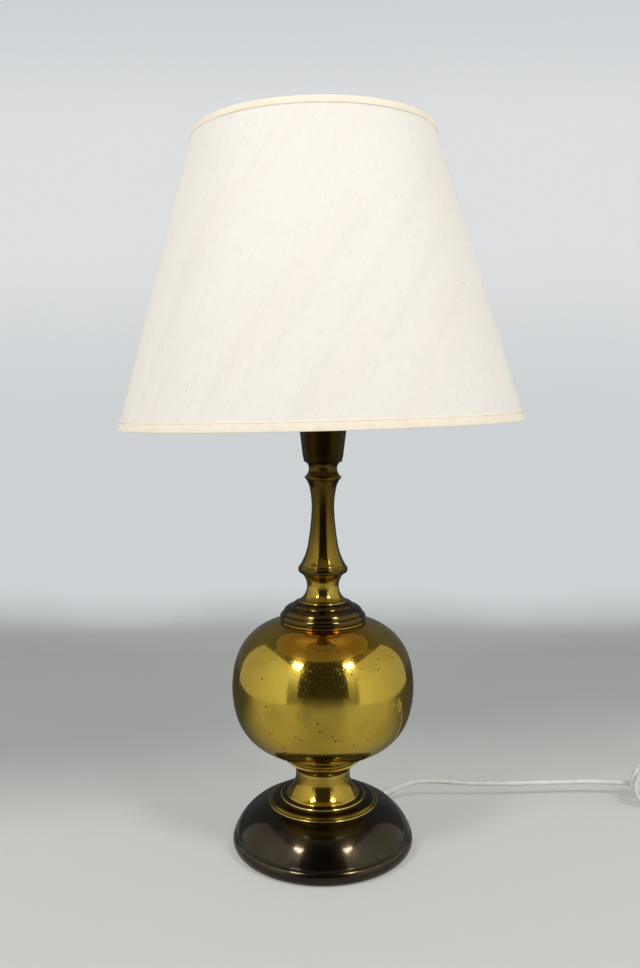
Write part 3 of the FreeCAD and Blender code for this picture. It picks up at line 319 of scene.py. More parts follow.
class Finish(Nodes):
    """A material with one Principled shader, drawn by noise, spots and lines on its surface."""

    def __init__(self, name, color, roughness, metallic=0.0, **fixed):
        self.material = bpy.data.materials.new(name)
        self.material.use_nodes = True
        super().__init__(self.material.node_tree)
        self.shader = self.tree.nodes["Principled BSDF"]
        self.set(**{"Base Color": color, "Roughness": roughness, "Metallic": metallic})
        self.set(**{key.replace("_", " "): value for key, value in fixed.items()})
        self.material.diffuse_color = (*color, 1.0)

    def set(self, **sockets):
        for key, value in sockets.items():
            self.feed(self.shader.inputs[key], value)

    def cloth(self):
        return self.wire("ShaderNodeTexCoord", {}, {}, "UV")

    def scaled(self, scale, turn=(0, 0, 0), of=None):
        turn = tuple(math.radians(angle) for angle in turn)
        sockets = {"Vector": of or self.place(), "Scale": scale, "Rotation": turn}
        return self.wire("ShaderNodeMapping", {}, sockets)

    def noise(self, scale, detail=3.0, of=None):
        sockets = {"Vector": of or self.place(), "Scale": scale, "Detail": detail}
        return self.wire("ShaderNodeTexNoise", {}, sockets, "Fac")

    def spots(self, scale, size, of=None):
        """Small round spots, one in each random cell: 1 inside a spot."""
        sockets = {"Vector": of or self.place(), "Scale": scale}
        distance = self.wire("ShaderNodeTexVoronoi", {}, sockets, "Distance")
        return 1 - distance.within(size * 0.5, size)

    def attribute(self, name):
        return self.wire("ShaderNodeAttribute", {"attribute_name": name}, {}, "Fac")

    def mix(self, first, second, factor):
        """Two colours mixed by a factor."""
        sockets = {0: factor, 6: first, 7: second}
        return self.wire("ShaderNodeMix", {"data_type": "RGBA"}, sockets, 2)

    def bump(self, height, strength, distance):
        sockets = {"Strength": strength, "Distance": distance, "Height": height}
        self.set(Normal=self.wire("ShaderNodeBump", {}, sockets, "Normal"))
        return self

    def glow(self, tone, share):
        """The shader with a share of it replaced by light of one tone."""
        light = self.wire("ShaderNodeEmission", {}, {"Color": tone, "Strength": 1.0})
        own = Wire(self, self.shader.outputs[0])
        return self.wire("ShaderNodeMixShader", {}, {0: share, 1: own, 2: light})

    def show(self, surface):
        self.feed(self.tree.nodes["Material Output"].inputs["Surface"], surface)
        return self


# Metal finishes
def polished_brass():
    """The round body: warm gold with lathe marks that draw lights out upright, small pits, and an
    orange painted reflection near its top.
    """
    f = Finish(
        "polished_brass", (0.53, 0.38, 0.055), 0.1, 1.0,
        Anisotropic=0.75, Anisotropic_Rotation=LATHE_WAY,
    )
    broad = f.noise(14.0, 3.0)
    cloud = f.noise(45.0, 4.0)
    pit = f.spots(150.0, 0.19) * f.noise(30.0, 1.0).within(0.54, 0.58)
    smudge = f.spots(16.0, 0.16) * f.noise(11.0, 1.0).within(0.45, 0.55)
    rough = f.noise(BRASS_GRAIN, 0.0).within(0.52, 0.66)
    scuff = f.noise(1.0, 3.0, f.scaled((900.0, 900.0, 90.0), (0, 14, 8))).within(0.60, 0.70)
    scuff = scuff * f.noise(17.0, 1.0).within(0.47, 0.60)
    x, _, z = f.axes()
    # Painted reflection: an orange tint near the top of the ball, in a band through its middle, for
    # the shade's lining that it mirrors.
    lampshade_reflection = z.within(0.205, 0.236) * (1 - abs(x).within(0.030, 0.055))
    warm = f.mix((0.54, 0.40, 0.060), (0.51, 0.35, 0.046), broad.within(0.35, 0.7))
    glow = f.mix(warm, (0.47, 0.20, 0.008), lampshade_reflection * 0.75)
    dull = f.mix(glow, (0.34, 0.25, 0.05), cloud.within(0.5, 0.8) * 0.5 + smudge * 0.5)
    f.set(**{"Base Color": f.mix(dull, (0.05, 0.03, 0.015), pit)})
    f.set(Roughness=0.045 + cloud * 0.03 + rough * 0.16 + scuff * 0.3 + pit * 0.4)
    return f.bump(cloud * 0.25 - pit, 0.18, 0.00012)


def turned_brass(
    name, color, shade, worn, roughness, streak=0.25, ledges=0.3, shaded_from=None, **fixed,
):
    """Turned brass, darker in blotches and hollows, with painted shade on ledges that face up, and
    edges rubbed bright.

    With the two heights given, painted shade darkens it upwards from the first to the second, for
    the dark under the lampshade that the brass mirrors.
    """
    f = Finish(
        name, color, roughness, 1.0, Anisotropic=0.7, Anisotropic_Rotation=LATHE_WAY, **fixed,
    )
    blotch = f.noise(24.0, 4.0)
    fine = f.noise(190.0, 3.0)
    rough = f.noise(BRASS_GRAIN, 0.0)
    dark = tuple(c * 0.3 for c in shade)
    body = f.mix(color, shade, blotch.within(0.35, 0.75) * 0.8)
    if shaded_from:
        # Painted shade: darker upwards under the lampshade, where the brass mirrors its dark
        # underside.
        lampshade_reflection = f.axes()[2].within(*shaded_from)
        body = f.mix(body, tuple(c * 0.55 for c in shade), lampshade_reflection * 0.9)
    # Hollows darken with patina. Faces that look up get painted shade, for the dark above them that
    # they mirror.
    patina_and_ledge_shade = f.attribute("hollow") * 0.9 + f.attribute("ledge").within(0.7, 0.97) * ledges
    deep = f.mix(body, dark, patina_and_ledge_shade.within(0.0, 1.0))
    rubbed = f.attribute("wear") * (0.45 + fine * 0.9)
    f.set(**{"Base Color": f.mix(deep, worn, rubbed.within(0.15, 0.7))})
    f.set(Roughness=roughness + blotch * 0.08 + rough.within(0.52, 0.66) * streak)
    return f.bump(fine, 0.05, 0.0001)


# Cloth finishes
def slub_fabric():
    """Off-white cloth: a close weave with slanting slub streaks and a few dark specks."""
    f = Finish("slub_fabric", (0.90, 0.86, 0.79), 0.85, Sheen_Weight=0.08)
    cloth = f.cloth()
    along, up, _ = f.axes(cloth)
    slant = f.scaled((1.0, 1.0, 1.0), (0, 0, SLUB_SLANT), cloth)
    broad = f.noise(6.0, 2.0, f.scaled((9.0, 0.7, 1.0), of=slant))
    streak = f.noise(20.0, 3.0, f.scaled((32.0, 3.4, 1.0), of=slant))
    fleck = f.noise(70.0, 3.0, f.scaled((6.0, 1.2, 1.0), of=slant))
    weave = (up * WEAVE).sine() + (along * WEAVE).sine()
    speck = f.spots(34.0, 0.045, cloth) * f.noise(15.0, 1.0, cloth).within(0.54, 0.58)
    tint = f.noise(5.0, 2.0, f.scaled((5.0, 1.0, 1.0), of=slant))
    base = f.mix((0.893, 0.860, 0.783), (0.900, 0.840, 0.783), tint.within(0.42, 0.62))
    grey = f.mix(base, (0.80, 0.785, 0.70), broad.within(0.50, 0.72) * 0.30)
    lines = f.mix(grey, (0.76, 0.73, 0.65), streak.within(0.52, 0.70) * 0.32)
    light = f.mix(lines, (0.975, 0.95, 0.90), fleck.within(0.60, 0.72) * 0.4)
    f.set(**{"Base Color": f.mix(light, (0.42, 0.38, 0.30), speck * 0.8)})
    return f.bump(weave * 0.10 + streak * 1.2 + fleck * 0.8, 0.35, 0.0003)


def shade_lining():
    # Painted light: the lining is warm for the light that comes through the cloth, which the brass
    # below mirrors orange.
    f = Finish("shade_lining", LINING, 0.45)
    grain = f.noise(260.0, 2.0)
    f.set(**{"Base Color": f.mix(LINING, (0.82, 0.73, 0.58), grain)})
    return f.bump(grain, 0.1, 0.0001)


def bias_tape():
    """Pale cream tape with a fine twill."""
    f = Finish("bias_tape", (0.90, 0.82, 0.64), 0.8, Sheen_Weight=0.1)
    cloth = f.cloth()
    along, up, _ = f.axes(cloth)
    twill = (along * TWILL + up * TWILL).sine()
    uneven = f.noise(60.0, 3.0, cloth)
    base = f.mix((0.955, 0.870, 0.71), (0.91, 0.79, 0.60), uneven.within(0.45, 0.75))
    f.set(**{"Base Color": f.mix(base, (0.97, 0.92, 0.82), twill.within(0.2, 1.0) * 0.35)})
    return f.bump(twill * 0.4 + uneven * 1.2, 0.3, 0.0003)


def green_felt():
    f = Finish("green_felt", (0.03, 0.09, 0.05), 0.95, Sheen_Weight=0.3)
    fluff = f.noise(700.0, 4.0)
    green = f.mix((0.025, 0.08, 0.045), (0.05, 0.13, 0.075), fluff.within(0.3, 0.7))
    f.set(**{"Base Color": green})
    return f.bump(fluff, 0.6, 0.0004)


# Moulded, plated and painted finishes
def grained(name, color, darker, roughness, metallic=0.0, grain=120.0, strength=0.1, **fixed):
    """A moulded, plated or painted surface with a fine grain and faint blotches."""
    f = Finish(name, color, roughness, metallic, **fixed)
    blotch = f.noise(grain * 0.2, 3.0)
    fine = f.noise(grain, 3.0)
    f.set(**{"Base Color": f.mix(color, darker, blotch.within(0.35, 0.8))})
    f.set(Roughness=roughness + fine * 0.12 - 0.04)
    return f.bump(fine, strength, 0.0001)


finishes = {
    "ball_brass": polished_brass(),
    "patina_brass": turned_brass(
        "dark_patina", (0.036, 0.028, 0.017), (0.055, 0.040, 0.018), BRIGHT, 0.12, 0.2, 0.0,
        Coat_Weight=0.35, Coat_Roughness=0.07,
    ),
    "gold_brass": turned_brass("gold_brass", GOLD, OLD_GOLD, BRIGHT, 0.06, 0.12, 0.9),
    "antique_brass": turned_brass(
        "antique_brass", (0.44, 0.32, 0.055), (0.24, 0.155, 0.022), BRIGHT, 0.07, 0.12, 1.0,
    ),
    "iron": grained("cast_iron", (0.10, 0.10, 0.10), (0.05, 0.045, 0.04), 0.65, 0.6, 260.0, 0.8),
    "zinc_steel": grained("zinc_plate", (0.62, 0.62, 0.60), (0.48, 0.47, 0.42), 0.3, 1.0),
    "white_steel": grained("white_enamel", (0.86, 0.85, 0.81), (0.80, 0.79, 0.74), 0.3),
    "felt": green_felt(),
    "card": grained("fibre_board", (0.09, 0.085, 0.08), (0.05, 0.05, 0.05), 0.8, 0.0, 400.0, 0.4),
    "black_plastic": grained("black_resin", (0.035, 0.035, 0.035), (0.02, 0.02, 0.02), 0.35),
    "white_plastic": grained("white_moulding", (0.87, 0.87, 0.845), (0.81, 0.81, 0.77), 0.28),
    "white_cord": grained(
        "white_sheath", (0.88, 0.88, 0.855), (0.78, 0.77, 0.72), 0.34, 0.0, 500.0, 0.08,
    ),
    "shade_fabric": slub_fabric(),
    "shade_trim": bias_tape(),
    "bulb_glass": grained(
        "pearl_glass", (0.93, 0.93, 0.91), (0.88, 0.88, 0.86), 0.2, Coat_Weight=0.3,
    ),
    "bulb_metal": grained("bright_metal", (0.80, 0.80, 0.79), (0.68, 0.68, 0.66), 0.2, 1.0),
    "bulb_black": grained("black_glass", (0.02, 0.02, 0.02), (0.03, 0.03, 0.03), 0.12),
}
lining = shade_lining()
# Painted shade: the cup's brass is made near black for the shade it stands in under the lampshade,
# and its blotches are lighter brass.
shaded_cup_brass = turned_brass(
    "shaded_cup_brass", (0.018, 0.011, 0.002), (0.070, 0.045, 0.006), OLD_GOLD, 0.10, 0.15,
)
# Painted shade: a darker copy of the column's brass for the shaft and cove under the lampshade,
# darker still upwards.
shaded_shaft_brass = turned_brass(
    "shaded_shaft_brass", (0.27, 0.19, 0.030), (0.12, 0.072, 0.012), (0.12, 0.075, 0.012),
    0.07, 0.12, 0.6, (0.29, 0.37),
)
ring_brass = turned_brass(
    "ring_brass", (0.40, 0.28, 0.045), (0.17, 0.105, 0.02), BRIGHT, 0.09, 0.25, 1.0,
)
cap_brass = turned_brass(
    "cap_brass", (0.080, 0.055, 0.020), (0.13, 0.088, 0.026), GOLD, 0.09, 0.14, 0.9,
)
thread = grained("stitch_thread", (0.52, 0.40, 0.24), (0.40, 0.29, 0.16), 0.7, 0.0, 900.0, 0.3)


def give(piece, finish):
    """Make one finish the only material of a piece."""
    piece.data.materials.clear()
    piece.data.materials.append(finish.material)


def dress(piece, slot, body, *replaced):
    """Give a new piece its finish and its body, and hide the nodes that it stands for."""
    if not piece.data.materials:
        give(piece, finishes[slot])
    if replaced:
        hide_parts(*replaced)
    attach(piece, body)
    return piece


def deselect():
    if bpy.context.object and bpy.context.object.mode != "OBJECT":
        bpy.ops.object.mode_set(mode="OBJECT")
    bpy.ops.object.select_all(action="DESELECT")


# Turned pieces
def arc_points(start, end, curve):
    """Points of an arc after its start."""
    (x0, y0), (x1, y1) = start, end
    chord = math.hypot(x1 - x0, y1 - y0)
    side = math.copysign(1, curve)
    depth = math.sqrt(max(curve ** 2 - chord ** 2 / 4, 0)) * side
    centre_x = (x0 + x1) / 2 - (y1 - y0) / chord * depth
    centre_y = (y0 + y1) / 2 + (x1 - x0) / chord * depth
    first = math.atan2(y0 - centre_y, x0 - centre_x)
    turn = (math.atan2(y1 - centre_y, x1 - centre_x) - first) * side % (2 * math.pi)
    count = max(3, round(math.degrees(turn) / ARC_STEP))
    angles = [first + side * turn * index / count for index in range(1, count + 1)]
    reach = abs(curve)
    return [(centre_x + reach * math.cos(a), centre_y + reach * math.sin(a)) for a in angles]


def outline_points(outline):
    """All points of an outline. A long straight step gets one more point near each end."""
    points = [outline[0]]
    for step in outline[1:]:
        if len(step) == 3:
            points += arc_points(points[-1], step[:2], step[2])
            continue
        start = Vector(points[-1])
        run = Vector(step) - start
        if run.length > LONG_STEP:
            near = run.normalized() * LONG_STEP * 0.4
            points += [tuple(start + near), tuple(start + run - near)]
        points.append(step)
    return points


def draw_wire(name, points, closed):
    """Draw a wire on the XZ plane: one vertex, extruded from point to point."""
    deselect()
    bpy.ops.mesh.primitive_plane_add(size=0.01)
    piece = bpy.context.object
    piece.name = name
    bpy.ops.object.mode_set(mode="EDIT")
    bpy.ops.mesh.select_all(action="SELECT")
    bpy.ops.mesh.merge(type="CENTER")
    places = [Vector((across, 0, up)) * MM for across, up in points]
    bpy.ops.transform.translate(value=places[0])
    for before, after in zip(places, places[1:] + places[:1] * closed):
        bpy.ops.mesh.extrude_region_move(TRANSFORM_OT_translate={"value": after - before})
    return piece


def spin_wire(around, angle=360.0):
    """Spin the wire that is open in edit mode about the upright axis."""
    bpy.ops.mesh.select_all(action="SELECT")
    bpy.ops.mesh.spin(steps=around, angle=math.radians(angle), center=(0, 0, 0), axis=(0, 0, 1))
    bpy.ops.mesh.select_all(action="SELECT")
    bpy.ops.mesh.remove_doubles(threshold=MERGE_DISTANCE * MM)
    bpy.ops.mesh.normals_make_consistent(inside=False)
    bpy.ops.object.mode_set(mode="OBJECT")


def corners_of(points):
    """Corners of a closed outline: place, sharpness, and whether they stand out."""
    corners = []
    for index, point in enumerate(points):
        here = Vector(point)
        before = here - Vector(points[index - 1])
        after = Vector(points[(index + 1) % len(points)]) - here
        turn = math.degrees(math.atan2(before.x * after.y - before.y * after.x, before.dot(after)))
        if abs(turn) > CORNER_ANGLE:
            corners.append((here, min(1.0, abs(turn) / FULL_CORNER_ANGLE), turn > 0))
    return corners


def mark_corners(piece, points):
    """Store on each vertex how near an outer and a hollow corner are, and how far it faces up."""
    corners = corners_of(points)
    for name, outer in (("wear", True), ("hollow", False)):
        values = []
        for vertex in piece.data.vertices:
            here = Vector((math.hypot(vertex.co.x, vertex.co.y), vertex.co.z)) / MM
            near = [
                math.exp(-(here - corner).length_squared / CORNER_SPREAD) * sharpness
                for corner, sharpness, stands_out in corners if stands_out is outer
            ]
            values.append(max(near, default=0.0))
        piece.data.attributes.new(name, "FLOAT", "POINT").data.foreach_set("value", values)
    ledges = [0.0] * len(piece.data.vertices)
    for face in piece.data.polygons:
        for vertex in face.vertices:
            ledges[vertex] = max(ledges[vertex], face.normal.z)
    piece.data.attributes.new("ledge", "FLOAT", "POINT").data.foreach_set("value", ledges)


def round_edges(piece, width, limit=24.0):
    bevel = piece.modifiers.new("edge", "BEVEL")
    bevel.width = width * MM
    bevel.segments = 2
    bevel.limit_method = "ANGLE"
    bevel.angle_limit = math.radians(limit)
    bpy.ops.object.modifier_apply(modifier=bevel.name)


def turn_piece(name, outline, around=144, edge=0.25):
    """Spin an outline about the upright axis and round its edges."""
    points = outline_points(outline)
    piece = draw_wire(name, points, True)
    spin_wire(around)
    if edge:
        round_edges(piece, edge)
    mark_corners(piece, points)
    bpy.ops.object.shade_smooth_by_angle(angle=math.radians(SMOOTH_ANGLE))
    return piece


def set_down(piece, place, turn=(0, 0, 0)):
    """Turn and move a piece, and keep both in its mesh."""
    deselect()
    piece.select_set(True)
    bpy.context.view_layer.objects.active = piece
    piece.rotation_euler = [math.radians(angle) for angle in turn]
    piece.location = place
    bpy.ops.object.transform_apply(location=True, rotation=True, scale=True)
    return piece


def turned_part(node, outline, slot, body="lamp", around=144, edge=0.25, finish=None):
    """A turned piece that stands in for a node, on the node's own seat."""
    piece = turn_piece(node + "_turned", outline, around, edge)
    if finish:
        give(piece, finish)
    set_down(piece, (0, 0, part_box(node)[0].z - min(step[1] for step in outline) * MM))
    return dress(piece, slot, body, node)


def turn_metal():
    turned_part("base_foot", FOOT_OUTLINE, "patina_brass", around=AROUND_BROAD)
    turned_part("foot_ring", RING_OUTLINE, "gold_brass", around=160, finish=ring_brass)
    turned_part("foot_neck", NECK_OUTLINE, "gold_brass")
    turned_part("ball_saucer", SAUCER_OUTLINE, "gold_brass")
    turned_part("ball_body", BALL_OUTLINE, "ball_brass", around=AROUND_BROAD)
    turned_part("ball_cap", CAP_OUTLINE, "patina_brass", finish=cap_brass)
    turned_part("column_stem", STEM_OUTLINE, "antique_brass")
    turned_part("column_knob", KNOB_OUTLINE, "gold_brass", finish=cap_brass)
    turned_part("column_shaft", SHAFT_OUTLINE, "antique_brass", finish=shaded_shaft_brass)
    turned_part("column_cove", COVE_OUTLINE, "antique_brass", finish=shaded_shaft_brass)
    turned_part("socket_cup", CUP_OUTLINE, "patina_brass", edge=0.3, finish=shaded_cup_brass)
    turned_part("bulb_glass", GLASS_OUTLINE, "bulb_glass", "bulb", edge=0)


def bush_radius(reach):
    """The bush tapers from its flange to its tip."""
    share = (reach - BUSH_SEAT - BUSH_FLANGE) / (BUSH_TIP - BUSH_SEAT - BUSH_FLANGE)
    return BUSH_RADIUS + (BUSH_TIP_RADIUS - BUSH_RADIUS) * share


def turn_bush():
    """The cord's bush, with grooves round its taper so that it bends."""
    flange_end = BUSH_SEAT + BUSH_FLANGE
    inside = BUSH_SEAT - BUSH_INSIDE
    outline = [
        (BUSH_BORE, inside), (BUSH_RADIUS, inside), (BUSH_RADIUS, BUSH_SEAT),
        (BUSH_FLANGE_RADIUS, BUSH_SEAT), (BUSH_FLANGE_RADIUS, flange_end),
        (BUSH_RADIUS, flange_end),
    ]
    pitch = (BUSH_TIP - flange_end) / (BUSH_GROOVES + 1)
    for index in range(BUSH_GROOVES):
        reach = flange_end + pitch * (index + 0.75)
        groove = bush_radius(reach) - BUSH_GROOVE_DEPTH
        outline += [
            (bush_radius(reach), reach), (groove, reach + pitch * 0.08),
            (groove, reach + pitch * 0.42), (bush_radius(reach + pitch / 2), reach + pitch / 2),
        ]
    outline += [(bush_radius(BUSH_TIP), BUSH_TIP), (BUSH_BORE, BUSH_TIP)]
    bush = turn_piece("cord_bush_ribbed", outline, around=40, edge=0.15)
    set_down(bush, (0, 0, BUSH_HEIGHT * MM), (0, 90, BUSH_AZIMUTH))
    return dress(bush, "white_plastic", "lamp", "cord_bush")


# Shade
def cone(height, inset=0.0):
    """Radius of the shade at a height, less an inset."""
    return SHADE_RADIUS - SHADE_SLOPE * height - inset


def lay_flat(piece):
    """UV map of the cloth as it was cut: the cone rolled out flat, in metres."""
    apex = SHADE_RADIUS / SHADE_SLOPE * MM
    opening = math.sin(math.atan(SHADE_SLOPE))
    while piece.data.uv_layers:
        piece.data.uv_layers.remove(piece.data.uv_layers[0])
    layer = piece.data.uv_layers.new(name="cloth")
    vertices = piece.data.vertices
    for face in piece.data.polygons:
        middle = math.atan2(face.center.x, -face.center.y)
        for loop in face.loop_indices:
            x, y, z = vertices[piece.data.loops[loop].vertex_index].co
            turn = math.atan2(x, -y)
            turn += 2 * math.pi * round((middle - turn) / (2 * math.pi))
            reach = math.hypot(math.hypot(x, y), apex - z)
            swing = turn * opening
            layer.data[loop].uv = (reach * math.sin(swing), -reach * math.cos(swing))


def lean(piece):
    """Lean a piece of the shade and put it on the lamp."""
    return set_down(piece, [value * MM for value in SHADE_PLACE], (0, -SHADE_TILT, 0))


def cloth_wall(name, around, angle, rise, start=0.0):
    """One layer of the shade's cloth on its stiff lining, all round or over an angle."""
    low = PANEL_INSET
    high = SHADE_HEIGHT - PANEL_INSET
    rows = [low + (high - low) * row / PANEL_ROWS for row in range(PANEL_ROWS + 1)]
    piece = draw_wire(name, [(cone(z, PANEL_INSET - rise), z) for z in rows], False)
    bpy.ops.mesh.select_all(action="SELECT")
    bpy.ops.transform.rotate(value=-math.radians(start), orient_axis="Z", center_override=(0, 0, 0))
    spin_wire(around, angle)
    lay_flat(piece)
    wall = piece.modifiers.new("wall", "SOLIDIFY")
    wall.thickness = PANEL_THICKNESS * MM
    wall.offset = -1
    wall.material_offset = 1
    wall.material_offset_rim = 1
    piece.data.materials.append(finishes["shade_fabric"].material)
    piece.data.materials.append(lining.material)
    bpy.ops.object.modifier_apply(modifier=wall.name)
    bpy.ops.object.shade_smooth_by_angle(angle=math.radians(SMOOTH_ANGLE))
    return lean(piece)


def fold_tape(name, node, edge, way, height):
    """A tape folded over the shade's edge, down its outside and its inside."""
    thick = TAPE_THICKNESS
    inner = TAPE_LINING + thick
    end = edge + way * height
    tuck = end - way * 0.5
    fold_end = edge + way * TAPE_FOLD_END
    fold = edge + way * thick
    soft = edge + way * thick * 0.4
    points = [
        (cone(end, thick * 0.5), end + way * 0.1), (cone(tuck), tuck), (cone(fold_end), fold_end),
        (cone(soft, TAPE_SOFT), soft), (cone(edge, TAPE_ROUND), edge),
        (cone(edge, inner - TAPE_ROUND), edge), (cone(soft, inner - TAPE_SOFT), soft),
        (cone(end, inner), end), (cone(end, TAPE_LINING), end), (cone(fold, TAPE_LINING), fold),
        (cone(fold, thick), fold), (cone(end, thick + 0.05), end),
    ]
    piece = draw_wire(name, points, True)
    spin_wire(AROUND_SHADE)
    round_edges(piece, 0.12, limit=40.0)
    lay_flat(piece)
    bpy.ops.object.shade_smooth_by_angle(angle=math.radians(TAPE_SMOOTH_ANGLE))
    return dress(lean(piece), "shade_trim", "shade", node)


def stitch_ring(name, height, doublings):
    """A row of stitches round the shade: one stitch, doubled until the ring is full."""
    deselect()
    bpy.ops.mesh.primitive_uv_sphere_add(segments=6, ring_count=4, radius=0.5 * MM)
    piece = bpy.context.object
    piece.name = name
    bpy.ops.object.mode_set(mode="EDIT")
    bpy.ops.mesh.select_all(action="SELECT")
    bpy.ops.transform.resize(value=(STITCH_THICKNESS, STITCH_LENGTH, STITCH_THICKNESS))
    bpy.ops.transform.translate(value=(cone(height) * MM, 0, height * MM))
    angle = math.pi
    for _ in range(doublings):
        bpy.ops.mesh.select_all(action="SELECT")
        bpy.ops.mesh.duplicate()
        bpy.ops.transform.rotate(value=angle, orient_axis="Z", center_override=(0, 0, 0))
        angle /= 2
    bpy.ops.object.mode_set(mode="OBJECT")
    bpy.ops.object.shade_smooth()
    give(piece, thread)
    return dress(lean(piece), "shade_trim", "shade")


def wire_ring(name, node, height):
    """A round wire inside the edge of the shade."""
    centre = cone(height, WIRE_INSET)
    angles = [math.radians(360 / WIRE_SIDES * index) for index in range(WIRE_SIDES)]
    section = [
        (centre + WIRE_RADIUS * math.cos(a), height + WIRE_RADIUS * math.sin(a)) for a in angles
    ]
    piece = draw_wire(name, section, True)
    spin_wire(AROUND_WIRE)
    bpy.ops.object.shade_smooth()
    return dress(lean(piece), "white_steel", "shade", node)


def shade_point(radius, height, angle):
    """A point of the leaning shade, in the lamp's frame, in metres."""
    turn = math.radians(angle)
    tilt = math.radians(-SHADE_TILT)
    x, y = radius * math.cos(turn), radius * math.sin(turn)
    across = x * math.cos(tilt) + height * math.sin(tilt)
    up = height * math.cos(tilt) - x * math.sin(tilt)
    return (Vector((across, y, up)) + Vector(SHADE_PLACE)) * MM


def tube(name, places, radius, roundness, steps):
    """A round wire or cord whose line is one smooth spline with these control points."""
    data = bpy.data.curves.new(name, "CURVE")
    data.dimensions = "3D"
    data.bevel_depth = radius * MM
    data.bevel_resolution = roundness
    data.use_fill_caps = True
    spline = data.splines.new("NURBS")
    spline.points.add(len(places) - 1)
    for point, place in zip(spline.points, places):
        point.co = (*place, 1.0)
    spline.order_u = 3
    spline.use_endpoint_u = True
    spline.resolution_u = steps
    piece = bpy.data.objects.new(name, data)
    bpy.context.scene.collection.objects.link(piece)
    return piece


def make_spider():
    """A pressed hub and three arms that bend down to the bottom wire."""
    hub_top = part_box("shade_spider")[1].z
    hub = turn_piece("spider_frame", HUB_OUTLINE, edge=0.5)
    set_down(hub, (0, 0, hub_top - HUB_THICKNESS * MM))
    middle = hub_top - HUB_THICKNESS * MM / 2
    arms = []
    for angle in ARM_ANGLES:
        way = Vector((math.cos(math.radians(angle)), math.sin(math.radians(angle)), 0))
        end = shade_point(cone(WIRE_EDGE, WIRE_INSET), WIRE_EDGE, angle)
        start = way * HUB_RADIUS * MM + Vector((0, 0, middle))
        knee = start + (end - start) * ARM_KNEE_SHARE + Vector((0, 0, ARM_KNEE_RISE * MM))
        places = [start - way * ARM_ROOT * MM, start, knee, (knee + end) / 2, end]
        arms.append(tube("arm", places, ARM_RADIUS, roundness=3, steps=12))
    deselect()
    for arm in arms:
        arm.select_set(True)
    bpy.context.view_layer.objects.active = arms[-1]
    bpy.ops.object.convert(target="MESH")
    hub.select_set(True)
    bpy.context.view_layer.objects.active = hub
    bpy.ops.object.join()
    hub.data.materials.clear()
    return dress(hub, "white_steel", "shade", "shade_spider")


def make_shade():
    cloth = cloth_wall("shade_cloth", AROUND_SHADE, 360.0, 0.0)
    dress(cloth, "shade_fabric", "shade", "shade_panel")
    lap = cloth_wall("shade_lap", AROUND_LAP, LAP_ANGLE, LAP_RISE, 90 - LAP_ANGLE / 2)
    dress(lap, "shade_fabric", "shade")
    fold_tape("bottom_tape", "trim_bottom", 0.0, 1, BOTTOM_TAPE)
    fold_tape("top_tape", "trim_top", SHADE_HEIGHT, -1, TOP_TAPE)
    stitch_ring("bottom_stitches", BOTTOM_TAPE - BOTTOM_STITCH_INSET, doublings=9)
    stitch_ring("top_stitches", SHADE_HEIGHT - TOP_TAPE + TOP_STITCH_INSET, doublings=8)
    wire_ring("bottom_wire", "shade_bottom_wire", WIRE_EDGE)
    wire_ring("top_wire", "shade_top_wire", SHADE_HEIGHT - WIRE_EDGE)
    make_spider()


# Cord
def hank_place(side, layer, level, at_waist=False):
    """A point of the hank, at its waist or at the end of a run."""
    out = HANK_WAIST_HALF if at_waist else HANK_HALF_RUN
    pinched = level - math.copysign(HANK_PINCH, level) * at_waist
    x, y, z = HANK_CENTRE
    return Vector((x + side * out, y - layer * HANK_LAYER, z + pinched))


def bend_corners(start, end):
    """The two corners between which a run steps aside, leaving and arriving along X."""
    shift = end - start
    aside = math.hypot(shift.y, shift.z)
    run = abs(shift.x)
    reach = (run ** 2 + aside ** 2) / (4 * run)
    way = Vector((math.copysign(reach, shift.x), 0, 0))
    return [start + way, end - way]


def lobe_corners(begin, end, way):
    """Corners round the half turn from one run to the next, evenly spaced."""
    centre = (begin + end) / 2
    rise = (end.z - begin.z) / 2
    far = 1 / math.cos(math.pi / (2 * LOBE_CORNERS))
    angles = [math.pi * (index + 0.5) / LOBE_CORNERS for index in range(LOBE_CORNERS)]
    return [
        centre + Vector((way * abs(rise) * math.sin(angle), 0, -rise * math.cos(angle))) * far
        for angle in angles
    ]


def hank_corners():
    """The hank from its waist, over all its runs and half turns, back to its waist."""
    points = []
    way = 1
    last = len(HANK_RUNS) - 1
    for index, (level, low_layer, high_layer) in enumerate(HANK_RUNS):
        ends = {0: low_layer, last: high_layer}
        waist_layer = ends.get(index, (low_layer + high_layer) / 2)
        enter = hank_place(-way, waist_layer, level, True)
        leave = hank_place(way, waist_layer, level, True)
        if index > 0:
            points += bend_corners(hank_place(-way, low_layer, level), enter)
        if index == last:
            return points + [leave]
        run_end = hank_place(way, high_layer, level)
        points += bend_corners(leave, run_end)
        points += lobe_corners(run_end, hank_place(way, high_layer, HANK_RUNS[index + 1][0]), way)
        way = -way


def cord_corners():
    """Control points of the whole cord, from the bush's tip to the plug."""
    azimuth = math.radians(BUSH_AZIMUTH)
    tip = Vector((BUSH_TIP * math.cos(azimuth), BUSH_TIP * math.sin(azimuth), BUSH_HEIGHT))
    heading = math.radians(PLUG_HEADING)
    plug = Vector(PLUG_PLACE)
    before_plug = plug - Vector((math.cos(heading), math.sin(heading), 0)) * PLUG_RUN
    points = [tip, *CORD_ROUTE, hank_place(-1, 0, HANK_RUNS[0][0], True), *hank_corners()]
    return [Vector(point) * MM for point in [*points, *TAIL_ROUTE, before_plug, plug]]


def lay_cord():
    corners = cord_corners()
    cord = tube("mains_cord", corners, CORD_RADIUS, roundness=6, steps=8)
    dress(cord, "white_cord", "lamp", "cord_free", "cord_hank", "cord_tail")


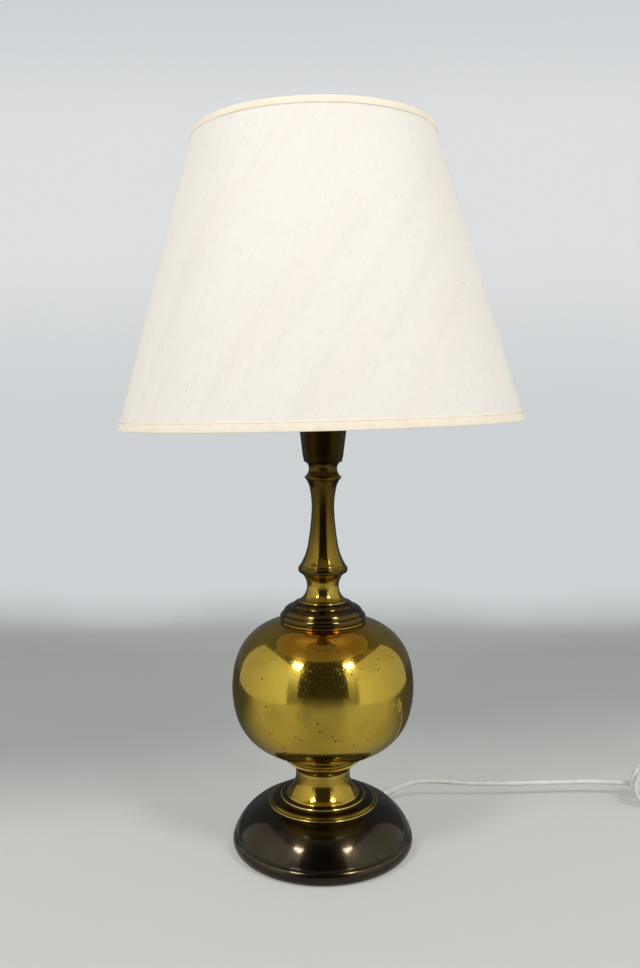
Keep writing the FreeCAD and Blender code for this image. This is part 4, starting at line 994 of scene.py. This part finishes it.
# Room, lamps and camera
def set_camera():
    data = bpy.data.cameras.new("camera")
    data.sensor_fit = "VERTICAL"
    data.sensor_height = SENSOR_HEIGHT
    data.lens = LENS_PIXELS / FRAME_HEIGHT * SENSOR_HEIGHT
    data.clip_start = 0.01
    camera = bpy.data.objects.new("camera", data)
    camera.location = CAMERA_PLACE
    camera.rotation_euler = (math.radians(90 - CAMERA_DROP), 0, 0)
    bpy.context.scene.collection.objects.link(camera)
    bpy.context.scene.camera = camera


def paper_finish():
    """Grey paper: its tones hold painted light and shade, and it is shaded by what stands on it.

    Metal mirrors it with painted shade behind the lamp, towards the middle of the front and far
    towards the camera, and with painted light off to each side. A camera behind the wall or under
    the floor looks through it.
    """
    f = Finish("studio_paper", (0.6, 0.6, 0.6), 0.9, Specular_IOR_Level=0.1)
    x, y, z = f.axes()
    mottle = f.noise(3.0, 3.0)
    # Painted light falloff: the floor is darker towards the wall.
    back_shade = (y - x * 0.2 + mottle * 0.15 - 0.075).within(0.03, 0.40)
    floor = f.mix(FLOOR_FRONT, FLOOR_BACK, back_shade)
    # Painted shade at the wall's foot, and painted light in a band partway up the wall.
    foot = (z + mottle * 0.05 - 0.025).within(-0.015, 0.115)
    high = z.within(0.42, 0.75) - z.within(0.92, 1.22) + mottle * 0.3 - 0.15
    wall = f.mix(f.mix(WALL_FOOT, WALL_MIDDLE, foot), WALL_HIGH, high)
    is_wall = z.within(0.0, 0.05)
    direct = f.ray("Camera")
    mirrored = f.ray("Glossy")
    # Painted light and shade in what metal mirrors: lighter off to each side, darker far towards
    # the camera and behind the lamp.
    aside = (abs(x) + y * 0.45).within(-0.12, 0.12)
    far = 1 - y.within(-1.5, -0.3)
    level = (0.72 + aside * 0.36 - far * 0.34) * (1 - y.within(-0.20, 0.20) * 0.80)
    mirror_light_and_shade = 1 - mirrored * (1 - level)
    tone = f.mix((0, 0, 0), f.mix(floor, wall, is_wall), mirror_light_and_shade)
    lit = f.mix(f.mix(floor, FLOOR_LIT, 0.45), wall, is_wall)
    f.set(**{"Base Color": f.mix((0, 0, 0), lit, mirror_light_and_shade)})
    blend = f.glow(tone, (direct + mirrored) * (0.40 + back_shade * 0.30 + is_wall * 0.25))
    behind = f.wire("ShaderNodeNewGeometry", {}, {}, "Backfacing")
    clear = f.wire("ShaderNodeBsdfTransparent", {}, {})
    return f.show(f.wire("ShaderNodeMixShader", {}, {0: direct * behind, 1: blend, 2: clear}))


def board_finish():
    """White card that glows as a soft fill light of its own, and that metal mirrors at a painted
    tone.

    It is darker away from the lamps and has a lit strip along its front end.
    """
    f = Finish("white_card", (0.93, 0.92, 0.90), 0.8)
    _, y, z = f.axes()
    card = f.mix((0.97, 0.95, 0.92), (0.60, 0.59, 0.57), y.within(-0.75, 0.40))
    strip = f.mix((0.35, 0.33, 0.28), (1.0, 1.0, 0.97), z.within(0.10, 0.75))
    tone = f.mix(strip, card, y.within(-0.78, -0.72))
    return f.show(f.glow(tone, f.ray("Glossy") * 0.4 + 0.6))


def swept_paper():
    """Floor and wall in one sheet with a small sweep between them, and the floor behind it."""
    deselect()
    bpy.ops.mesh.primitive_plane_add(size=2 * ROOM_HALF_WIDTH)
    paper = bpy.context.object
    paper.name = "studio_paper"
    for vertex in paper.data.vertices:
        vertex.co.y = ROOM_FRONT if vertex.co.y < 0 else WALL_PLACE
    bpy.ops.object.mode_set(mode="EDIT")
    bpy.ops.mesh.select_mode(type="EDGE")
    bpy.ops.mesh.select_all(action="DESELECT")
    bpy.ops.object.mode_set(mode="OBJECT")
    for edge in paper.data.edges:
        edge.select = all(paper.data.vertices[v].co.y > 0 for v in edge.vertices)
    bpy.ops.object.mode_set(mode="EDIT")
    bpy.ops.mesh.extrude_region_move(TRANSFORM_OT_translate={"value": (0, 0, ROOM_HEIGHT)})
    bpy.ops.object.mode_set(mode="OBJECT")
    bevel = paper.modifiers.new("sweep", "BEVEL")
    bevel.width = SWEEP_RADIUS
    bevel.segments = SWEEP_SEGMENTS
    bpy.ops.object.modifier_apply(modifier=bevel.name)
    bpy.ops.object.shade_smooth()
    finish = paper_finish()
    give(paper, finish)
    bpy.ops.mesh.primitive_plane_add(size=2 * ROOM_HALF_WIDTH)
    rest = bpy.context.object
    rest.name = "paper_behind"
    set_down(rest, (0, WALL_PLACE - 2 * SWEEP_RADIUS + ROOM_HALF_WIDTH, -BEHIND_DROP))
    give(rest, finish)


def side_board(name, side, finish):
    """A white board that stands beside the lamp, its front end nearer: the brass mirrors it."""
    deselect()
    bpy.ops.mesh.primitive_plane_add(size=1)
    board = bpy.context.object
    board.name = name
    board.scale = (*BOARD_SIZE, 1)
    board.rotation_euler = (0, math.radians(-90 * side), math.radians(-BOARD_TOE_IN * side))
    board.location = (BOARD_PLACE[0] * side, *BOARD_PLACE[1:])
    bpy.ops.object.transform_apply(location=True, rotation=True, scale=True)
    board.visible_camera = False
    board.visible_shadow = False
    give(board, finish)


def softbox(name, azimuth, power):
    """A square lamp, at an azimuth to the right of the camera as seen from its target."""
    data = bpy.data.lights.new(name, "AREA")
    data.shape = "SQUARE"
    data.size = SOFTBOX_SIZE
    data.energy = power
    lamp = bpy.data.objects.new(name, data)
    turn = math.radians(azimuth)
    rise = math.radians(SOFTBOX_RISE)
    level = math.cos(rise)
    way = Vector((level * math.sin(turn), -level * math.cos(turn), math.sin(rise)))
    lamp.location = Vector(SOFTBOX_TARGET) + way * SOFTBOX_DISTANCE
    lamp.rotation_euler = way.to_track_quat("Z", "Y").to_euler()
    bpy.context.scene.collection.objects.link(lamp)


def light_room():
    """A dim room, darker behind the camera. Seen past the paper, it is light grey."""
    world = bpy.data.worlds.new("room")
    world.use_nodes = True
    bpy.context.scene.world = world
    room = Nodes(world.node_tree)
    _, ahead, _ = room.axes(room.wire("ShaderNodeTexCoord", {}, {}, "Generated"))
    sockets = {
        "Value": ahead, "From Min": -0.55, "From Max": 0.1,
        "To Min": ROOM_DIM, "To Max": ROOM_BRIGHT,
    }
    strength = room.wire("ShaderNodeMapRange", {}, sockets) + room.ray("Camera") * ROOM_SEEN
    background = world.node_tree.nodes["Background"]
    room.feed(background.inputs["Strength"], strength)
    room.feed(background.inputs["Color"], ROOM_COLOR)


def set_stage():
    swept_paper()
    card = board_finish()
    side_board("left_board", -1, card)
    side_board("right_board", 1, card)
    for name, azimuth, power in SOFTBOXES:
        softbox(name, azimuth, power)
    light_room()
    bpy.context.scene.view_settings.view_transform = "Standard"


set_camera()
lay_cord()
turn_metal()
turn_bush()
make_shade()
slots = {item["node"]: item["material_slot"] for item in frame["record"]["subparts"]}
for node_name, node_object in nodes.items():
    give(node_object, finishes[slots[node_name]])
set_stage()
